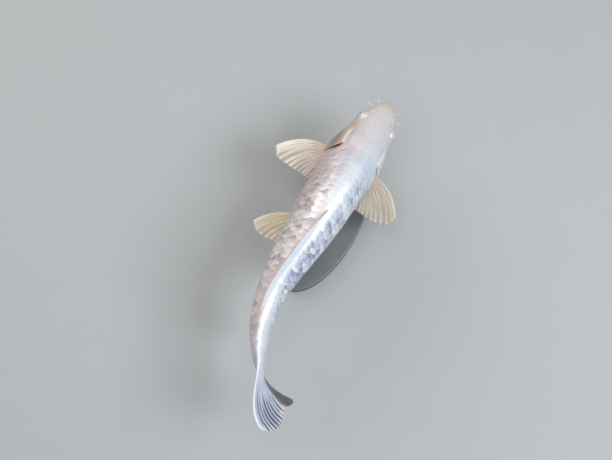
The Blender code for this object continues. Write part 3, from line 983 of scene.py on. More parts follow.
@dataclass(frozen=True, kw_only=True)
class PaintFinish(Finish):
    """An even coat of paint, a little worn, with a very fine texture."""

    colour: Colour
    worn: Colour
    wear: tuple[float, float, float, float]  # between which of the mask's values, and how much it shows there
    texture: float  # how fine

    def look(self, graph: Graph, effects: Effects) -> Look:
        """The paint's colour, which drifts to the worn one.

        Args:
            graph: the material's graph.
            effects: the shared effects.

        Returns:
            The colour, the bumps' height and the mask of wear.
        """
        place = graph.signal("ShaderNodeTexCoord", {}, "Object")
        grain = graph.use(effects.grain, Place=place, Size=self.texture)
        colour = graph.mix(grain["Wear"].band(*self.wear), self.colour, self.worn)
        return colour, grain["Height"], grain["Wear"]


# ------------------------------------------------------------------------------------------------- skin


@dataclass(frozen=True)
class GillCover:
    """The plates of the gill cover and the folds of the throat.

    Rings are shares of the body length, and angles run in degrees from -90 at the belly to 90 at the back. A
    pair named for a ridge, groove, swell or fold is its height in metres, and how far it spreads.
    """

    rings: Stretch = (0.118, 0.142, 0.184, 0.192)
    ridge_rings: Span = (0.120, 0.185)
    ridge_angles: Span = (38.0, 48.0)  # where the ridge lies at those rings
    ridge: Span = (0.60 * MM, 3.0)
    ridge_groove: Span = (-0.95 * MM, 3.4)
    groove_above: float = 6.5  # how far above the ridge it lies
    flank: Stretch = (-60.0, -48.0, 34.0, 44.0)
    front_ring: float = 0.128
    front_bow: Span = (0.016, 38.0)  # how far the front edge bows forward, over which angle
    front_middle: float = -5.0
    front_groove: Span = (-0.60 * MM, 0.0030)
    front_swell: Span = (0.25 * MM, 0.0040)
    swell_behind: float = 0.006
    lower_rings: Stretch = (0.132, 0.142, 0.180, 0.186)
    lower_edge: Point = (-30.0, 0.16, -260.0)  # its angle at a ring, and how steeply that falls
    lower_groove: Span = (-0.40 * MM, 2.2)
    throat_rings: Stretch = (0.055, 0.085, 0.186, 0.196)
    throat_folds: tuple[tuple[float, Span], ...] = ((-66.0, (-0.90 * MM, 3.0)), (-75.0, (-0.50 * MM, 2.6)))

    def relief(self, ring: Array, folded: Array) -> tuple[Array, Array]:
        """The cover's shape.

        Args:
            ring: ring places.
            folded: angles.

        Returns:
            Heights above the plain skin, and a mask of the ridge.
        """
        on_cover, on_flank = over(self.rings, ring), over(self.flank, folded)
        along_ridge = (ring - self.ridge_rings[0]) / (self.ridge_rings[1] - self.ridge_rings[0])
        from_ridge = folded - between(self.ridge_angles, along_ridge)
        height = swell(from_ridge, self.ridge) * on_cover
        height += swell(from_ridge - self.groove_above, self.ridge_groove) * on_cover
        from_front = ring - self.front_ring + swell(folded - self.front_middle, self.front_bow)
        height += swell(from_front, self.front_groove) * on_flank
        height += swell(from_front - self.swell_behind, self.front_swell) * on_flank
        angle, at_ring, fall = self.lower_edge
        from_lower = folded - angle - (ring - at_ring) * fall
        height += swell(from_lower, self.lower_groove) * over(self.lower_rings, ring)
        for angle, size in self.throat_folds:
            height += swell(folded - angle, size) * over(self.throat_rings, ring)
        return height, bell(from_ridge, self.ridge[1]) * on_cover


@dataclass
class Skin:
    """One skin from the snout to the roots of the tail's rays, with the head's own relief.

    Sizes are in metres on the straight fish. A pair named for a fold, rim, flap, pit, groove or nostril is
    its height, below zero where it is sunk, and how far it spreads.
    """

    form: BodyForm
    head_step: float = 0.58 * MM
    snout: tuple[float, float, int] = (0.00002, 0.012, 20)  # from and to which share, in so many close rings
    shoulder: Span = (0.0008, 0.0022)  # behind the gill ring a shut slit ends here, and the trunk starts
    trunk_rings: int = 150
    coat_start: Span = (0.188, 0.262)  # the skin sinks here to make room for the scales
    tail_joint: float = 0.985  # the rings lie closer from here to the end
    tail_rings: int = 18
    fine_angles: Span = (-2.0, 50.0)  # the stretch of the flank that holds the eye
    fine_turn: float = 0.95
    coarse_turn: float = 2.1
    mouth_corner: float = 17.5 * MM
    mouth_height: float = -4.4 * MM
    mouth_dip: float = 3.6 * MM
    mouth_groove: Span = (-2.6 * MM, 0.75 * MM)
    mouth_pit: Span = (-0.9 * MM, 2.4 * MM)
    lip: float = 3.9 * MM
    lip_groove: Span = (-0.95 * MM, 1.2 * MM)
    lip_fold: Span = (0.30 * MM, 1.3 * MM)
    nostril: Span = (0.066, 54.0)  # ring and angle
    front_nostril: Span = (-1.7 * MM, 1.15 * MM)
    rear_nostril: Span = (-1.9 * MM, 1.5 * MM)
    nostril_flap: Span = (0.55 * MM, 1.3 * MM)
    nostril_rim: Span = (0.30 * MM, 1.0 * MM)
    eye_opening: float = 6.9 * MM
    eye_rim: Span = (0.45 * MM, 1.0 * MM)
    eye_groove: Span = (-0.35 * MM, 0.9 * MM)
    eye_hollow: float = 0.25 * MM  # how deep the skin lies round the eye
    eye_pit: float = 3.6 * MM  # and under the eyeball
    gill_cover: GillCover = GillCover()
    slit_red: Span = (0.6 * MM, 1.6 * MM)  # the depths over which the skin turns dark red in the slit, partly the gills' own red and partly painted shade
    shoulder_red: Span = (1.5 * MM, 2.9 * MM)  # and behind it, on the sunk shoulder, partly painted shade
    # The gill opening from the cover's edge, in and forward under it, then out over the shoulder:
    # how far behind the gill ring, and how deep, in metres.
    slit_profile: tuple[Span, ...] = (
        (-0.0060, 0.0), (-0.0030, -0.00010), (-0.0012, 0.0), (-0.0003, 0.0004), (-0.0002, 0.0010),
        (-0.0014, 0.0017), (-0.0045, 0.0024), (-0.0085, 0.0031), (-0.0060, 0.0035), (-0.0005, 0.0030),
    )

    def angles(self) -> Array:
        """The grid's angles round the body, closer together over the eyes.

        Returns:
            Angles in degrees.
        """
        low, high = self.fine_angles
        stretches = (
            (low, high, self.fine_turn), (high, 180 - high, self.coarse_turn),
            (180 - high, 180 - low, self.fine_turn), (180 - low, 360 + low, self.coarse_turn),
        )
        return np.concatenate([np.linspace(a, b, round((b - a) / turn) + 1)[:-1] for a, b, turn in stretches])

    def mouth(self, x: Array, z: Array) -> tuple[Array, Array]:
        """The mouth's groove, the lips along it and the pit at its corner.

        Args:
            x: distances behind the snout.
            z: heights.

        Returns:
            Heights above the plain skin, and a mask of the mouth's groove, dark red and partly painted shade,
            and of its rosy lips.
        """
        off = z - self.mouth_height + self.mouth_dip * (x / self.mouth_corner) ** 1.6
        from_lip = np.abs(off) - self.lip / 2
        opening = 1 - eased(0.86, 1.06, x / self.mouth_corner)
        lips = 1 - eased(0.9, 1.25, x / self.mouth_corner)
        height = swell(off, self.mouth_groove) * opening + swell(from_lip, self.lip_fold) * lips
        height += (swell(off - self.lip, self.lip_groove) + swell(off + self.lip, self.lip_groove)) * lips
        corner = np.hypot(x - self.mouth_corner, z - self.mouth_height + self.mouth_dip)
        height += swell(corner, self.mouth_pit)
        # The groove's dark red is partly painted shade; the faint rose of the lips is their own.
        redness = np.maximum(0.9 * bell(off, 0.55 * MM) * opening, 0.15 * bell(from_lip, 1.5 * MM) * lips)
        return height, redness

    def nose(self, x: Array, side: Array, z: Array) -> tuple[Array, Array]:
        """The pairs of nostrils, with the flap between each pair and the rim round it.

        Args:
            x: distances behind the snout.
            side: distances from the midline.
            z: heights.

        Returns:
            Heights above the plain skin, and a mask of the hollows, which take painted shade.
        """
        nose = self.form.straight(*self.nostril) * BODY_LENGTH
        along, out = x - nose[0], np.hypot(side - abs(nose[1]), z - nose[2])
        front = np.hypot(along + 1.7 * MM, out)
        rear = np.hypot((along - 1.6 * MM) / 0.9, out / 1.25)
        height = swell(front, self.front_nostril) + swell(rear, self.rear_nostril)
        height += swell(np.hypot(along / 0.55, out / 1.3), self.nostril_flap)
        height += swell(np.hypot(along, out) - 4.0 * MM, self.nostril_rim)
        # The nostrils' hollows take painted shade.
        return height, 0.8 * np.maximum(bell(front, 0.9 * MM), bell(rear, 1.1 * MM))

    def eye_socket(self, x: Array, side: Array, z: Array) -> Array:
        """The rim, the groove and the opening round each eye.

        Args:
            x: distances behind the snout.
            side: distances from the midline.
            z: heights.

        Returns:
            Heights above the plain skin.
        """
        offset = np.stack([x, side, z], axis=-1) - np.array(self.form.eye) * BODY_LENGTH
        axis = unit(self.form.eye_axis)
        from_axis = np.linalg.norm(offset - (offset @ axis)[..., None] * axis, axis=-1) - self.eye_opening
        height = swell(from_axis - 1.0 * MM, self.eye_rim) + swell(from_axis - 3.4 * MM, self.eye_groove)
        height -= self.eye_hollow * (1 - eased(0.0, 4.5 * MM, from_axis))
        return height - self.eye_pit * (1 - eased(-0.9 * MM, 0.1 * MM, from_axis))

    def relief(self, ring: Array, angle: Array) -> tuple[Array, Array, Array]:
        """The head's features.

        Args:
            ring: ring places.
            angle: angles round the body.

        Returns:
            Heights above the plain skin in metres, and masks of the hollows, which take dark red and painted
            shade, and of the gill cover's ridge, which takes a painted highlight.
        """
        place = self.form.straight(ring, angle) * BODY_LENGTH
        x, side, z = place[..., 0], np.abs(place[..., 1]), place[..., 2]
        mouth, mouth_hollow = self.mouth(x, z)
        nose, nose_hollow = self.nose(x, side, z)
        cover, ridge = self.gill_cover.relief(ring, fold(angle))
        height = mouth + nose + self.eye_socket(x, side, z) + cover
        return height, np.maximum(mouth_hollow, nose_hollow), ridge

    def rings(self, angles: Array) -> tuple[Array, Array, Array]:
        """The skin's rings: those of the head, those that line the gill slit, and those of the trunk.

        Args:
            angles: the grid's angles round the body.

        Returns:
            Ring places, depths in metres below the outline, and how red the skin is there: a dark red that
            deepens with depth, partly painted shade.
        """
        gill, step = self.form.gill_ring, self.head_step / BODY_LENGTH
        start, end, count = self.snout
        tip = np.linspace(math.sqrt(start), math.sqrt(end), count)[:-1] ** 2
        head = np.concatenate([tip, np.arange(end, gill + self.slit_profile[0][0] - step, step)])
        head = head[:, None] + 0 * angles
        open_by = self.form.gill_slit.opening(angles)
        behind, deep = np.array(self.slit_profile).T[..., None]
        shut = np.linspace(behind[0, 0], self.shoulder[0], len(behind))[:, None]
        slit = gill + open_by * behind + (1 - open_by) * shut
        start, end = math.sqrt(self.shoulder[1]), math.sqrt(self.tail_joint - gill)
        trunk = np.linspace(start, end, self.trunk_rings) ** 2
        tail = np.linspace(self.tail_joint, self.form.tail_end, self.tail_rings) - gill
        trunk = gill + np.append(trunk[:-1], tail)[:, None] + 0 * angles
        trunk_depth = self.form.slit_depth(trunk, angles)
        in_slit = open_by * eased(*self.slit_red, deep)
        on_shoulder = eased(*self.shoulder_red, trunk_depth)
        depths = np.concatenate([0 * head, open_by * deep, trunk_depth])
        redness = np.concatenate([0 * head, in_slit, 0.8 * on_shoulder])
        return np.concatenate([head, slit, trunk]), depths, redness

    def build(self, material: Material) -> Piece:
        """The skin as one closed mesh, whose end is folded shut between its two sides.

        Args:
            material: its finish.

        Returns:
            The piece.
        """
        angles = self.angles()
        rings, depths, redness = self.rings(angles)
        grid_angles = np.broadcast_to(angles, rings.shape)
        points, normals = self.form.surface(rings, grid_angles)
        height, red_and_shaded_hollows, ridge = self.relief(rings, grid_angles)
        under = between((HEAD_DEPTH, COAT_DEPTH), eased(*self.coat_start, rings))
        under = under * (1 - eased(1.0, self.form.tail_end, rings))
        stand = height * np.maximum(eased(0.0, 0.004, rings), 0.35) - under - depths
        rows, columns = rings.shape
        faces, places = ring_faces(rows, columns, flip=True)
        faces.pop()
        places = [places[:-columns]]
        last = (rows - 1) * columns
        twin = (np.flatnonzero(angles == 180 - angles[0])[0] - np.arange(columns)) % columns
        for k in np.flatnonzero(np.cos(np.radians(angles + 0.001)) > 0).tolist():
            after = (k + 1) % columns
            ends = list(dict.fromkeys((int(twin[k]), int(twin[after]), after, k)))
            faces.append([last + end for end in ends])
            places.append(np.full((len(ends), 2), HIDDEN_PLACE))
        attributes = {
            "straight": self.form.straight(rings, grid_angles).reshape(-1, 3),
            # Dark red in the hollows and gill slits, partly painted shade, and the ridge that takes a painted
            # highlight.
            "red_and_shaded_hollows": np.maximum(red_and_shaded_hollows, redness).ravel(), "ridge": 0.8 * ridge.ravel(),
        }
        points = points + normals * stand[..., None]
        return make_object("skin", points, faces, np.concatenate(places), attributes, material)


# ----------------------------------------------------------------------------------------------- scales


class Side(Enum):
    """A side of the fish."""

    LEFT = "left"
    RIGHT = "right"

    def turned(self, vector: Point) -> Array:
        """A vector that is given for the left side, on this side."""
        return np.array(vector) * (1, 1 if self is Side.LEFT else -1, 1)


class GirthMap:
    """Distances round half the body, from the belly's midline up over the flank to the back's."""

    def __init__(self, form: BodyForm, flank_angle: float) -> None:
        """Measures the rings once.

        Args:
            form: the body.
            flank_angle: where the lateral line runs, in degrees.
        """
        self.rings = np.linspace(0.17, form.tail_end, 180)
        angles = np.linspace(-90.0, 90.0, 241)
        points = form.straight(self.rings[:, None], angles[None, :]) * BODY_LENGTH
        steps = np.linalg.norm(np.diff(points, axis=1), axis=-1)
        reach = np.concatenate([np.zeros((len(self.rings), 1)), np.cumsum(steps, axis=1)], axis=1)
        self.total = reach[:, -1]
        self.flank = np.array([np.interp(flank_angle, angles, row) for row in reach])
        self.shares = np.linspace(0.0, 1.0, 161)
        self.table = np.array([np.interp(self.shares, row / row[-1], angles) for row in reach])

    def above(self, ring: Array) -> Array:
        """The distance from the lateral line up to the back's midline."""
        return np.interp(ring, self.rings, self.total - self.flank)

    def below(self, ring: Array) -> Array:
        """The distance from the lateral line down to the belly's midline."""
        return np.interp(ring, self.rings, self.flank)

    def angle_at(self, ring: Array, reach: Array) -> Array:
        """The angle round the left side at a distance from the lateral line.

        Args:
            ring: ring places.
            reach: distances up; past a midline they run on down the other side.

        Returns:
            Angles in degrees.
        """
        share = (self.below(ring) + reach) / np.interp(ring, self.rings, self.total)
        past_back, past_belly = share > 1, share < 0
        share = np.where(past_back, 2 - share, np.abs(share))
        row = np.clip((ring - self.rings[0]) / (self.rings[1] - self.rings[0]), 0, len(self.rings) - 1.001)
        column = np.clip(share * (len(self.shares) - 1), 0, len(self.shares) - 1.001)
        i, j = row.astype(int), column.astype(int)
        u, v = row - i, column - j
        near = self.table[i, j] * (1 - v) + self.table[i, j + 1] * v
        far = self.table[i + 1, j] * (1 - v) + self.table[i + 1, j + 1] * v
        angle = near * (1 - u) + far * u
        return np.where(past_back, 180 - angle, np.where(past_belly, -180 - angle, angle))


@dataclass
class ScaleCoat:
    """Overlapping scales in long rows, offset by half a scale from row to row. Distances are in metres.

    Each scale's own width, roundness and dome lie between the two values given.
    """

    form: BodyForm
    flank_angle: float = -2.0
    pitch: Span = (8.9 * MM, 7.0 * MM)  # along the body, at the shoulder and at the tail
    spacing: Span = (11.2 * MM, 8.2 * MM)  # between rows, at the deepest and at the tail
    first_tip: float = 0.200
    last_tip: float = 1.012
    rows: int = 12  # most rows above and below the lateral line
    margin: float = 0.42  # between the last row and a midline, in row spacings
    length: float = 1.65  # of a scale, in pitches
    width: Span = (0.8448, 0.8976)  # half of a scale, in row spacings
    roundness: Span = (0.54, 0.66)  # how far its corners lie behind its tip, in row spacings
    corner: float = 0.94  # how near to a full half circle the free edge is
    edge_depth: float = 0.06 * MM
    edge_ease: float = 0.05 * MM  # how far the free edge itself turns in
    slope: float = 0.52 * MM  # how much deeper a scale lies one pitch in from its edge
    thickness: float = 0.20 * MM
    dome: Span = (0.064 * MM, 0.208 * MM)
    unevenness: float = 0.10 * MM
    behind_gill: float = 0.0045  # where the first scales start
    dorsal_span: Span = (0.446, 0.800)
    steps_along: int = 8
    steps_across: int = 12
    split_share: float = 0.50
    patch: float = 0.003  # a scale's size on the bake map

    def tips(self) -> Array:
        """The free edges of the rows' scales.

        Returns:
            Ring places.
        """
        places = [self.first_tip]
        while places[-1] < self.last_tip:
            places.append(places[-1] + self.pitch_at(places[-1]) / BODY_LENGTH)
        return np.array(places)

    def pitch_at(self, ring: Array) -> Array:
        """The distance along the body from one scale's free edge to the next."""
        return between(self.pitch, eased(0.35, 1.0, ring))

    def spacing_at(self, ring: Array) -> Array:
        """The distance between rows."""
        return between(self.spacing, eased(0.42, 0.98, ring))

    def layout(self, girth: GirthMap) -> Array:
        """Where the left side's scales lie.

        Args:
            girth: distances round the body.

        Returns:
            For each scale its free edge's ring, its distance up from the lateral line, and 1 on a midline.
        """
        tips = self.tips()
        found = []
        for row in range(-self.rows, self.rows + 1):
            ring = tips + 0.5 * (row % 2) * self.pitch_at(tips) / BODY_LENGTH
            spacing = self.spacing_at(ring)
            reach, margin = row * spacing, self.margin * spacing
            fits = (reach < girth.above(ring) - margin) & (reach > margin - girth.below(ring))
            fits &= ring < self.last_tip
            found += [(r, d, 0.0) for r, d in zip(ring[fits], reach[fits])]
        quarter = tips + 0.25 * self.pitch_at(tips) / BODY_LENGTH
        quarter = quarter[quarter < self.last_tip]
        on_back = quarter[(quarter < self.dorsal_span[0]) | (quarter > self.dorsal_span[1])]
        found += [(r, d, 1.0) for r, d in zip(on_back, girth.above(on_back))]
        found += [(r, d, 1.0) for r, d in zip(quarter, -girth.below(quarter))]
        return np.array(found)

    def build(self, material: Material) -> list[Piece]:
        """All the scales, as joined meshes by side and by front and rear.

        Args:
            material: their finish.

        Returns:
            The pieces.
        """
        girth = GirthMap(self.form, self.flank_angle)
        layout = self.layout(girth)
        rng = np.random.default_rng(SEED)
        pieces = []
        for side in Side:
            mine = layout if side is Side.LEFT else layout[layout[:, 2] == 0]
            chance = rng.random((len(mine), 6))
            front = mine[:, 0] < self.split_share
            for word, chosen in (("front", front), ("rear", ~front)):
                name = f"scales_{side.value}_{word}"
                pieces.append(self.scales(name, girth, mine[chosen], chance[chosen], side, material))
        return pieces

    def scales(
        self, name: str, girth: GirthMap, layout: Array, chance: Array, side: Side, material: Material,
    ) -> Piece:
        """One joined mesh of scales.

        Args:
            name: the piece's name.
            girth: distances round the body.
            layout: where the scales lie.
            chance: six random numbers for each scale.
            side: which flank.
            material: the scales' finish.

        Returns:
            The piece.
        """
        t = np.linspace(0.0, 1.0, self.steps_along + 1)[None, :, None]
        v = np.linspace(-1.0, 1.0, self.steps_across + 1)[None, None, :]
        tip, middle = layout[:, 0, None, None], layout[:, 1, None, None]
        toss = np.moveaxis(chance, -1, 0)[..., None, None]
        pitch, spacing = self.pitch_at(tip), self.spacing_at(tip)
        arc = between(self.roundness, toss[0]) * spacing * (1 - np.sqrt(1 - (self.corner * v) ** 2))
        forward = (1 - t) * self.length * pitch + arc
        ring = np.maximum(tip - forward / BODY_LENGTH, self.form.gill_ring + self.behind_gill)
        reach = middle + v * between(self.width, toss[1]) * spacing + 0 * t
        angle = girth.angle_at(ring, reach)
        if side is Side.RIGHT:
            angle = 180 - angle
        uneven = (toss[3] - 0.5) * v + (toss[4] - 0.5) * (1 - forward / pitch) + 0.5
        top = self.edge_depth + self.slope * forward / pitch + between(self.dome, toss[2]) * v**2
        top = top + self.unevenness * uneven + self.edge_ease * eased(0.86, 1.0, t)
        top = (top + self.form.slit_depth(ring, angle))[..., None]
        points, normals = self.form.surface(ring, angle)
        straight = self.form.straight(ring, angle)

        count, rows, columns = ring.shape
        both = np.stack([points - normals * top, points - normals * (top + self.thickness)], axis=1)
        one = plate_faces(rows, columns)
        if side is Side.LEFT:
            one = one[:, ::-1]
        faces = (one[None] + (np.arange(count) * 2 * rows * columns)[:, None, None]).reshape(-1, 4)
        centre = straight[:, rows // 2, columns // 2][:, None, None, :] + 0 * straight
        local = np.stack(np.broadcast_arrays(t, v, toss[5]), axis=-1)
        attributes = {
            key: np.stack([values, values], axis=1).reshape(-1, 3)
            for key, values in (("straight", straight), ("centre", centre), ("scale", local))
        }
        root = np.stack([((angle % 360) / 360)[:, 0, columns // 2], ring[:, 0, columns // 2]], axis=-1)
        root = 0.01 + 0.97 * np.clip(root, 0.0, 1.0)
        across, along = np.broadcast_arrays((v[0] + 1) / 2, t[0])
        halves = ((0.0, 0.55), (0.62, 0.38))  # the upper and the lower face, side by side
        patches = np.stack([np.stack([start + width * across, along], -1) for start, width in halves])
        uv = root[:, None, None, None, :] + patches[None] * self.patch
        return make_object(name, both, faces, uv, attributes, material)


# ------------------------------------------------------------------------------------------------- fins


@dataclass(frozen=True)
class Fin:
    """A fin as a fan of rays from a root line. Points and lengths are shares of the body length.

    A ray leaves its root at an angle from `out` towards the tail, and its angle grows by `curve` to its tip.
    Each pair of angles is for the first ray and the last.
    """

    name: str
    root_front: Point
    root_rear: Point
    out: Point
    sweep: Span
    lengths: tuple[Span, ...]
    curve: Span
    cup: float = 0.0
    droop: float = 0.0
    back: Point = (1.0, 0.0, 0.0)
    root_thick: float = 2.4 * MM
    tip_thick: float = 0.62 * MM
    web_thick: float = 0.24 * MM
    webbing: Span = (0.0, 0.30)  # where the web thins between the rays
    fade: float = 2.2
    rays: int = 16
    per_ray: int = 14
    steps: int = 52
    ridge_lift: float | None = None  # how far the root of a fin that follows the back rises from it
    span: Span = (0.0, 1.0)  # the share of the fan that this piece holds
    branch: Span = (0.30, 0.66)  # where rays fork, and fork again
    notch: float = 0.035  # how far the web falls short of the ray tips
    slots: float = 0.0  # how dark the painted shade in the gaps between the rays is
    slot_start: Span = (0.45, 0.75)
    ragged: float = 0.02  # how far single tips fall short
    late: Span = (-0.05, 0.06)  # between these, each ray forks earlier or later
    gap_late: Span = (-0.12, 0.10)  # each gap opens earlier or later
    gap_width: Span = (0.13, 0.34)

    def fan(self, form: BodyForm, across: Array, along: Array) -> tuple[Array, Array]:
        """The middle of the fin.

        Args:
            form: the body.
            across: places from the first ray to the last, from 0 to 1.
            along: places from root to tip, from 0 to 1.

        Returns:
            Straight-fish points, and the normal of the fan's plane.
        """
        out, back = unit(self.out), unit(self.back)
        normal = np.cross(back, out)
        root = np.array(self.root_front) + across[..., None] * np.subtract(self.root_rear, self.root_front)
        if self.ridge_lift is not None:
            root[..., 2] = form.back(root[..., 0]) + self.ridge_lift * eased(0.0, 0.3, along)
        length = np.interp(across, *zip(*self.lengths))
        angle = np.radians(between(self.sweep, across) + between(self.curve, across) * along / 2)
        reach = (length * along)[..., None]
        points = root + reach * (np.cos(angle)[..., None] * out + np.sin(angle)[..., None] * back)
        stand = self.cup * np.sin(math.pi * across) * along + self.droop * along**2
        return points + stand[..., None] * normal, normal

    def ridges(self, phase: Array, along: Array) -> Array:
        """How much a point lies on a ray or one of its branches.

        Args:
            phase: the place from one ray's border to the next, from 0 to 1.
            along: the place from root to tip, less how much later than the others this ray forks.

        Returns:
            Ridge heights from 0 to 1.
        """
        fork, again = self.branch
        first, second = 0.25 * eased(fork, fork + 0.26, along), 0.125 * eased(again, again + 0.22, along)
        width = 0.21 - 0.075 * eased(fork, fork + 0.3, along) - 0.055 * eased(again, again + 0.25, along)
        sides = ((-1, -1), (-1, 1), (1, -1), (1, 1))
        return np.max([bell(phase - 0.5 - one * first - two * second, width) for one, two in sides], axis=0)

    def build(self, form: BodyForm, material: Material) -> Piece:
        """The fin as one thin closed solid with its rays standing out on both faces.

        Args:
            form: the body.
            material: its finish.

        Returns:
            The piece.
        """
        rng = np.random.default_rng(sum(map(ord, self.name)))
        late = rng.uniform(*self.late, self.rays + 1)
        short = rng.uniform(-self.ragged, self.ragged * 0.3, self.rays + 1)
        opens = rng.uniform(*self.gap_late, self.rays + 1)
        wide = rng.uniform(*self.gap_width, self.rays + 1)
        steps = np.linspace(0.0, 1.0, self.steps + 1) ** 0.9
        fine_rays = np.linspace(0.0, self.rays, self.rays * self.per_ray + 1)
        along, units = np.meshgrid(steps, fine_rays, indexing="ij")
        ray = np.clip(np.floor(units).astype(int), 0, self.rays - 1)
        phase, gap = units - ray, np.round(units).astype(int)
        ridge, tip_ridge = self.ridges(phase, along - late[ray]), self.ridges(phase, 1.0 - late[ray])
        edge = 1 - self.notch * (1 - tip_ridge) + np.interp(units, np.arange(self.rays + 1), short)
        reach = along * (1 - (1 - np.minimum(edge, 1.0)) * along**5)
        across = between(self.span, units / self.rays)
        middle, normal = self.fan(form, across, reach)

        border = np.minimum(units, self.rays - units)
        full = between((self.tip_thick, self.root_thick), (1 - along) ** self.fade)
        web = np.minimum(self.web_thick + 0.75 * full * (1 - eased(*self.webbing, along)), full)
        thick = (web + (full - web) * ridge) * (0.35 + 0.65 * eased(0.0, 0.25, border))
        half = (thick / BODY_LENGTH / 2)[..., None] * normal
        slot = self.slots * bell(units - gap, wide[gap] * (0.55 + 0.75 * along))
        slot = slot * eased(*self.slot_start, along + opens[gap])
        slot = slot * eased(0.5, 2.5, units) * eased(0.0, 0.4, border)
        attributes = {
            "straight": np.stack([middle, middle]).reshape(-1, 3), "slot": np.stack([slot, slot]).ravel(),
            "fin": np.stack([np.stack([ridge, along, across], axis=-1)] * 2).reshape(-1, 3),
        }
        u, v = 0.485 * units / self.rays, 0.01 + 0.98 * along
        uv = np.stack([np.stack([start + u, v], -1) for start in (0.005, 0.51)])
        points = np.stack([form.pose.placed(middle + half), form.pose.placed(middle - half)])
        name = self.name.replace("_fin", "_rays")
        piece = make_object(name, points, plate_faces(*units.shape), uv, attributes, material, 75.0)
        return hand_over(piece, "fin", self.name)

    def mirrored(self, name: str, **changes: object) -> "Fin":
        """The fin of the other side.

        Args:
            name: its name.
            changes: what else differs there, by field.

        Returns:
            The fin.
        """
        keys = ("root_front", "root_rear", "out")
        swapped = {key: tuple(Side.RIGHT.turned(getattr(self, key))) for key in keys}
        return replace(self, name=name, cup=-self.cup, droop=-self.droop, **{**swapped, **changes})


# -------------------------------------------------------------------------------------- eyes and barbels


@dataclass
class Eye:
    """An eyeball with a clear bulge over its pupil, turned out and a little forward and up."""

    form: BodyForm
    side: Side
    shrink: float = 0.985
    flatness: float = 0.82
    forward: float = 0.9 * MM
    opening: float = 7.4 * MM
    bulge: Span = (0.25 * MM, 5.2 * MM)
    rings: int = 40
    sides: int = 64

    def build(self, material: Material) -> Piece:
        """The eyeball, drawn as circles round its axis from the pupil back.

        Args:
            material: its finish.

        Returns:
            The piece.
        """
        axis = unit(self.side.turned(self.form.eye_axis))
        first = unit(np.cross(axis, UP))
        second = np.cross(axis, first)
        radius = self.form.eye_radius * BODY_LENGTH * self.shrink
        polar, turn = np.meshgrid(
            np.linspace(0.004, 0.93, self.rings) * math.pi, np.arange(self.sides) / self.sides * math.tau,
            indexing="ij",
        )
        in_front = np.cos(polar) > 0
        reach = radius * np.sin(polar)
        ahead = self.forward + radius * self.flatness * np.cos(polar)
        ahead = ahead - (self.bulge[0] - swell(reach, self.bulge)) * in_front
        round_axis = np.cos(turn)[..., None] * first + np.sin(turn)[..., None] * second
        centre = self.side.turned(self.form.eye) * BODY_LENGTH
        points = (centre + ahead[..., None] * axis + reach[..., None] * round_axis) / BODY_LENGTH
        faces, places = ring_faces(self.rings, self.sides, flip=self.side is Side.RIGHT)
        visible = np.where(in_front, reach / self.opening, 1.5)
        attributes = {"eye": np.stack([visible, turn / math.tau, 0 * turn], -1).reshape(-1, 3)}
        placed = self.form.pose.placed(points)
        piece = make_object(f"eyeball_{self.side.value}", placed, faces, places, attributes, material)
        return hand_over(piece, "eye", f"eye_{self.side.value}")


@dataclass
class Barbel:
    """A tapering feeler that leaves the lip sideways and sinks towards its tip, given for the left side."""

    place: str
    root: Point
    heading: Point
    length: float  # as a share of the body length
    root_radius: float  # in metres
    sag: float = 0.3
    tip_share: float = 0.36
    rounding: float = 0.10  # the share of its length that rounds off at the tip
    sides: int = 16
    steps: int = 28

    def build(self, form: BodyForm, side: Side, material: Material) -> Piece:
        """The feeler as a closed tube with a rounded tip.

        Args:
            form: the body.
            side: which side of the mouth.
            material: its finish.

        Returns:
            The piece.
        """
        heading = unit(side.turned(self.heading))
        sideways = unit(np.cross(heading, UP))
        above = np.cross(sideways, heading)
        along = np.linspace(-0.12, 1.0, self.steps + 1)[:, None, None]
        turn = (np.arange(self.sides) / self.sides * math.tau)[None, :, None]
        down = self.sag * np.maximum(along, 0) ** 2 * np.array(UP)
        middle = side.turned(self.root) + self.length * (along * heading - down)
        end = np.sqrt(np.clip(1 - np.clip((along - 1 + self.rounding) / self.rounding, 0, 1) ** 2, 0.02, 1))
        radius = self.root_radius * between((1.0, self.tip_share), np.clip(along, 0, 1)) * end / BODY_LENGTH
        points = middle + radius * (np.cos(turn) * sideways + np.sin(turn) * above)
        faces, places = ring_faces(self.steps + 1, self.sides, flip=True)
        attributes = {"straight": points.reshape(-1, 3), "along": (along + 0 * turn).ravel()}
        name = f"{self.place}_{side.value}"
        placed = form.pose.placed(points)
        piece = make_object(f"feeler_{name}", placed, faces, places, attributes, material)
        return hand_over(piece, "barbel", f"barbel_{name}")


# --------------------------------------------------------------------------------------------- the whole


@dataclass(frozen=True)
class Softbox:
    """A square light that is aimed at the fish."""

    name: str
    place: Point
    size: float  # its side, in metres
    power: float  # in watts
    colour: Colour

    def hang(self, target: Point) -> None:
        """Hangs the light where it belongs.

        Args:
            target: the point that it is aimed at.
        """
        light = bpy.data.lights.new(self.name, "AREA")
        light.shape, light.size = "SQUARE", self.size
        light.energy, light.color = self.power, self.colour
        away = unit(np.subtract(self.place, target))
        holder = linked(self.name, light)
        holder.location = self.place
        holder.rotation_euler = (math.acos(away[2]), 0.0, math.atan2(away[1], away[0]) + math.pi / 2)


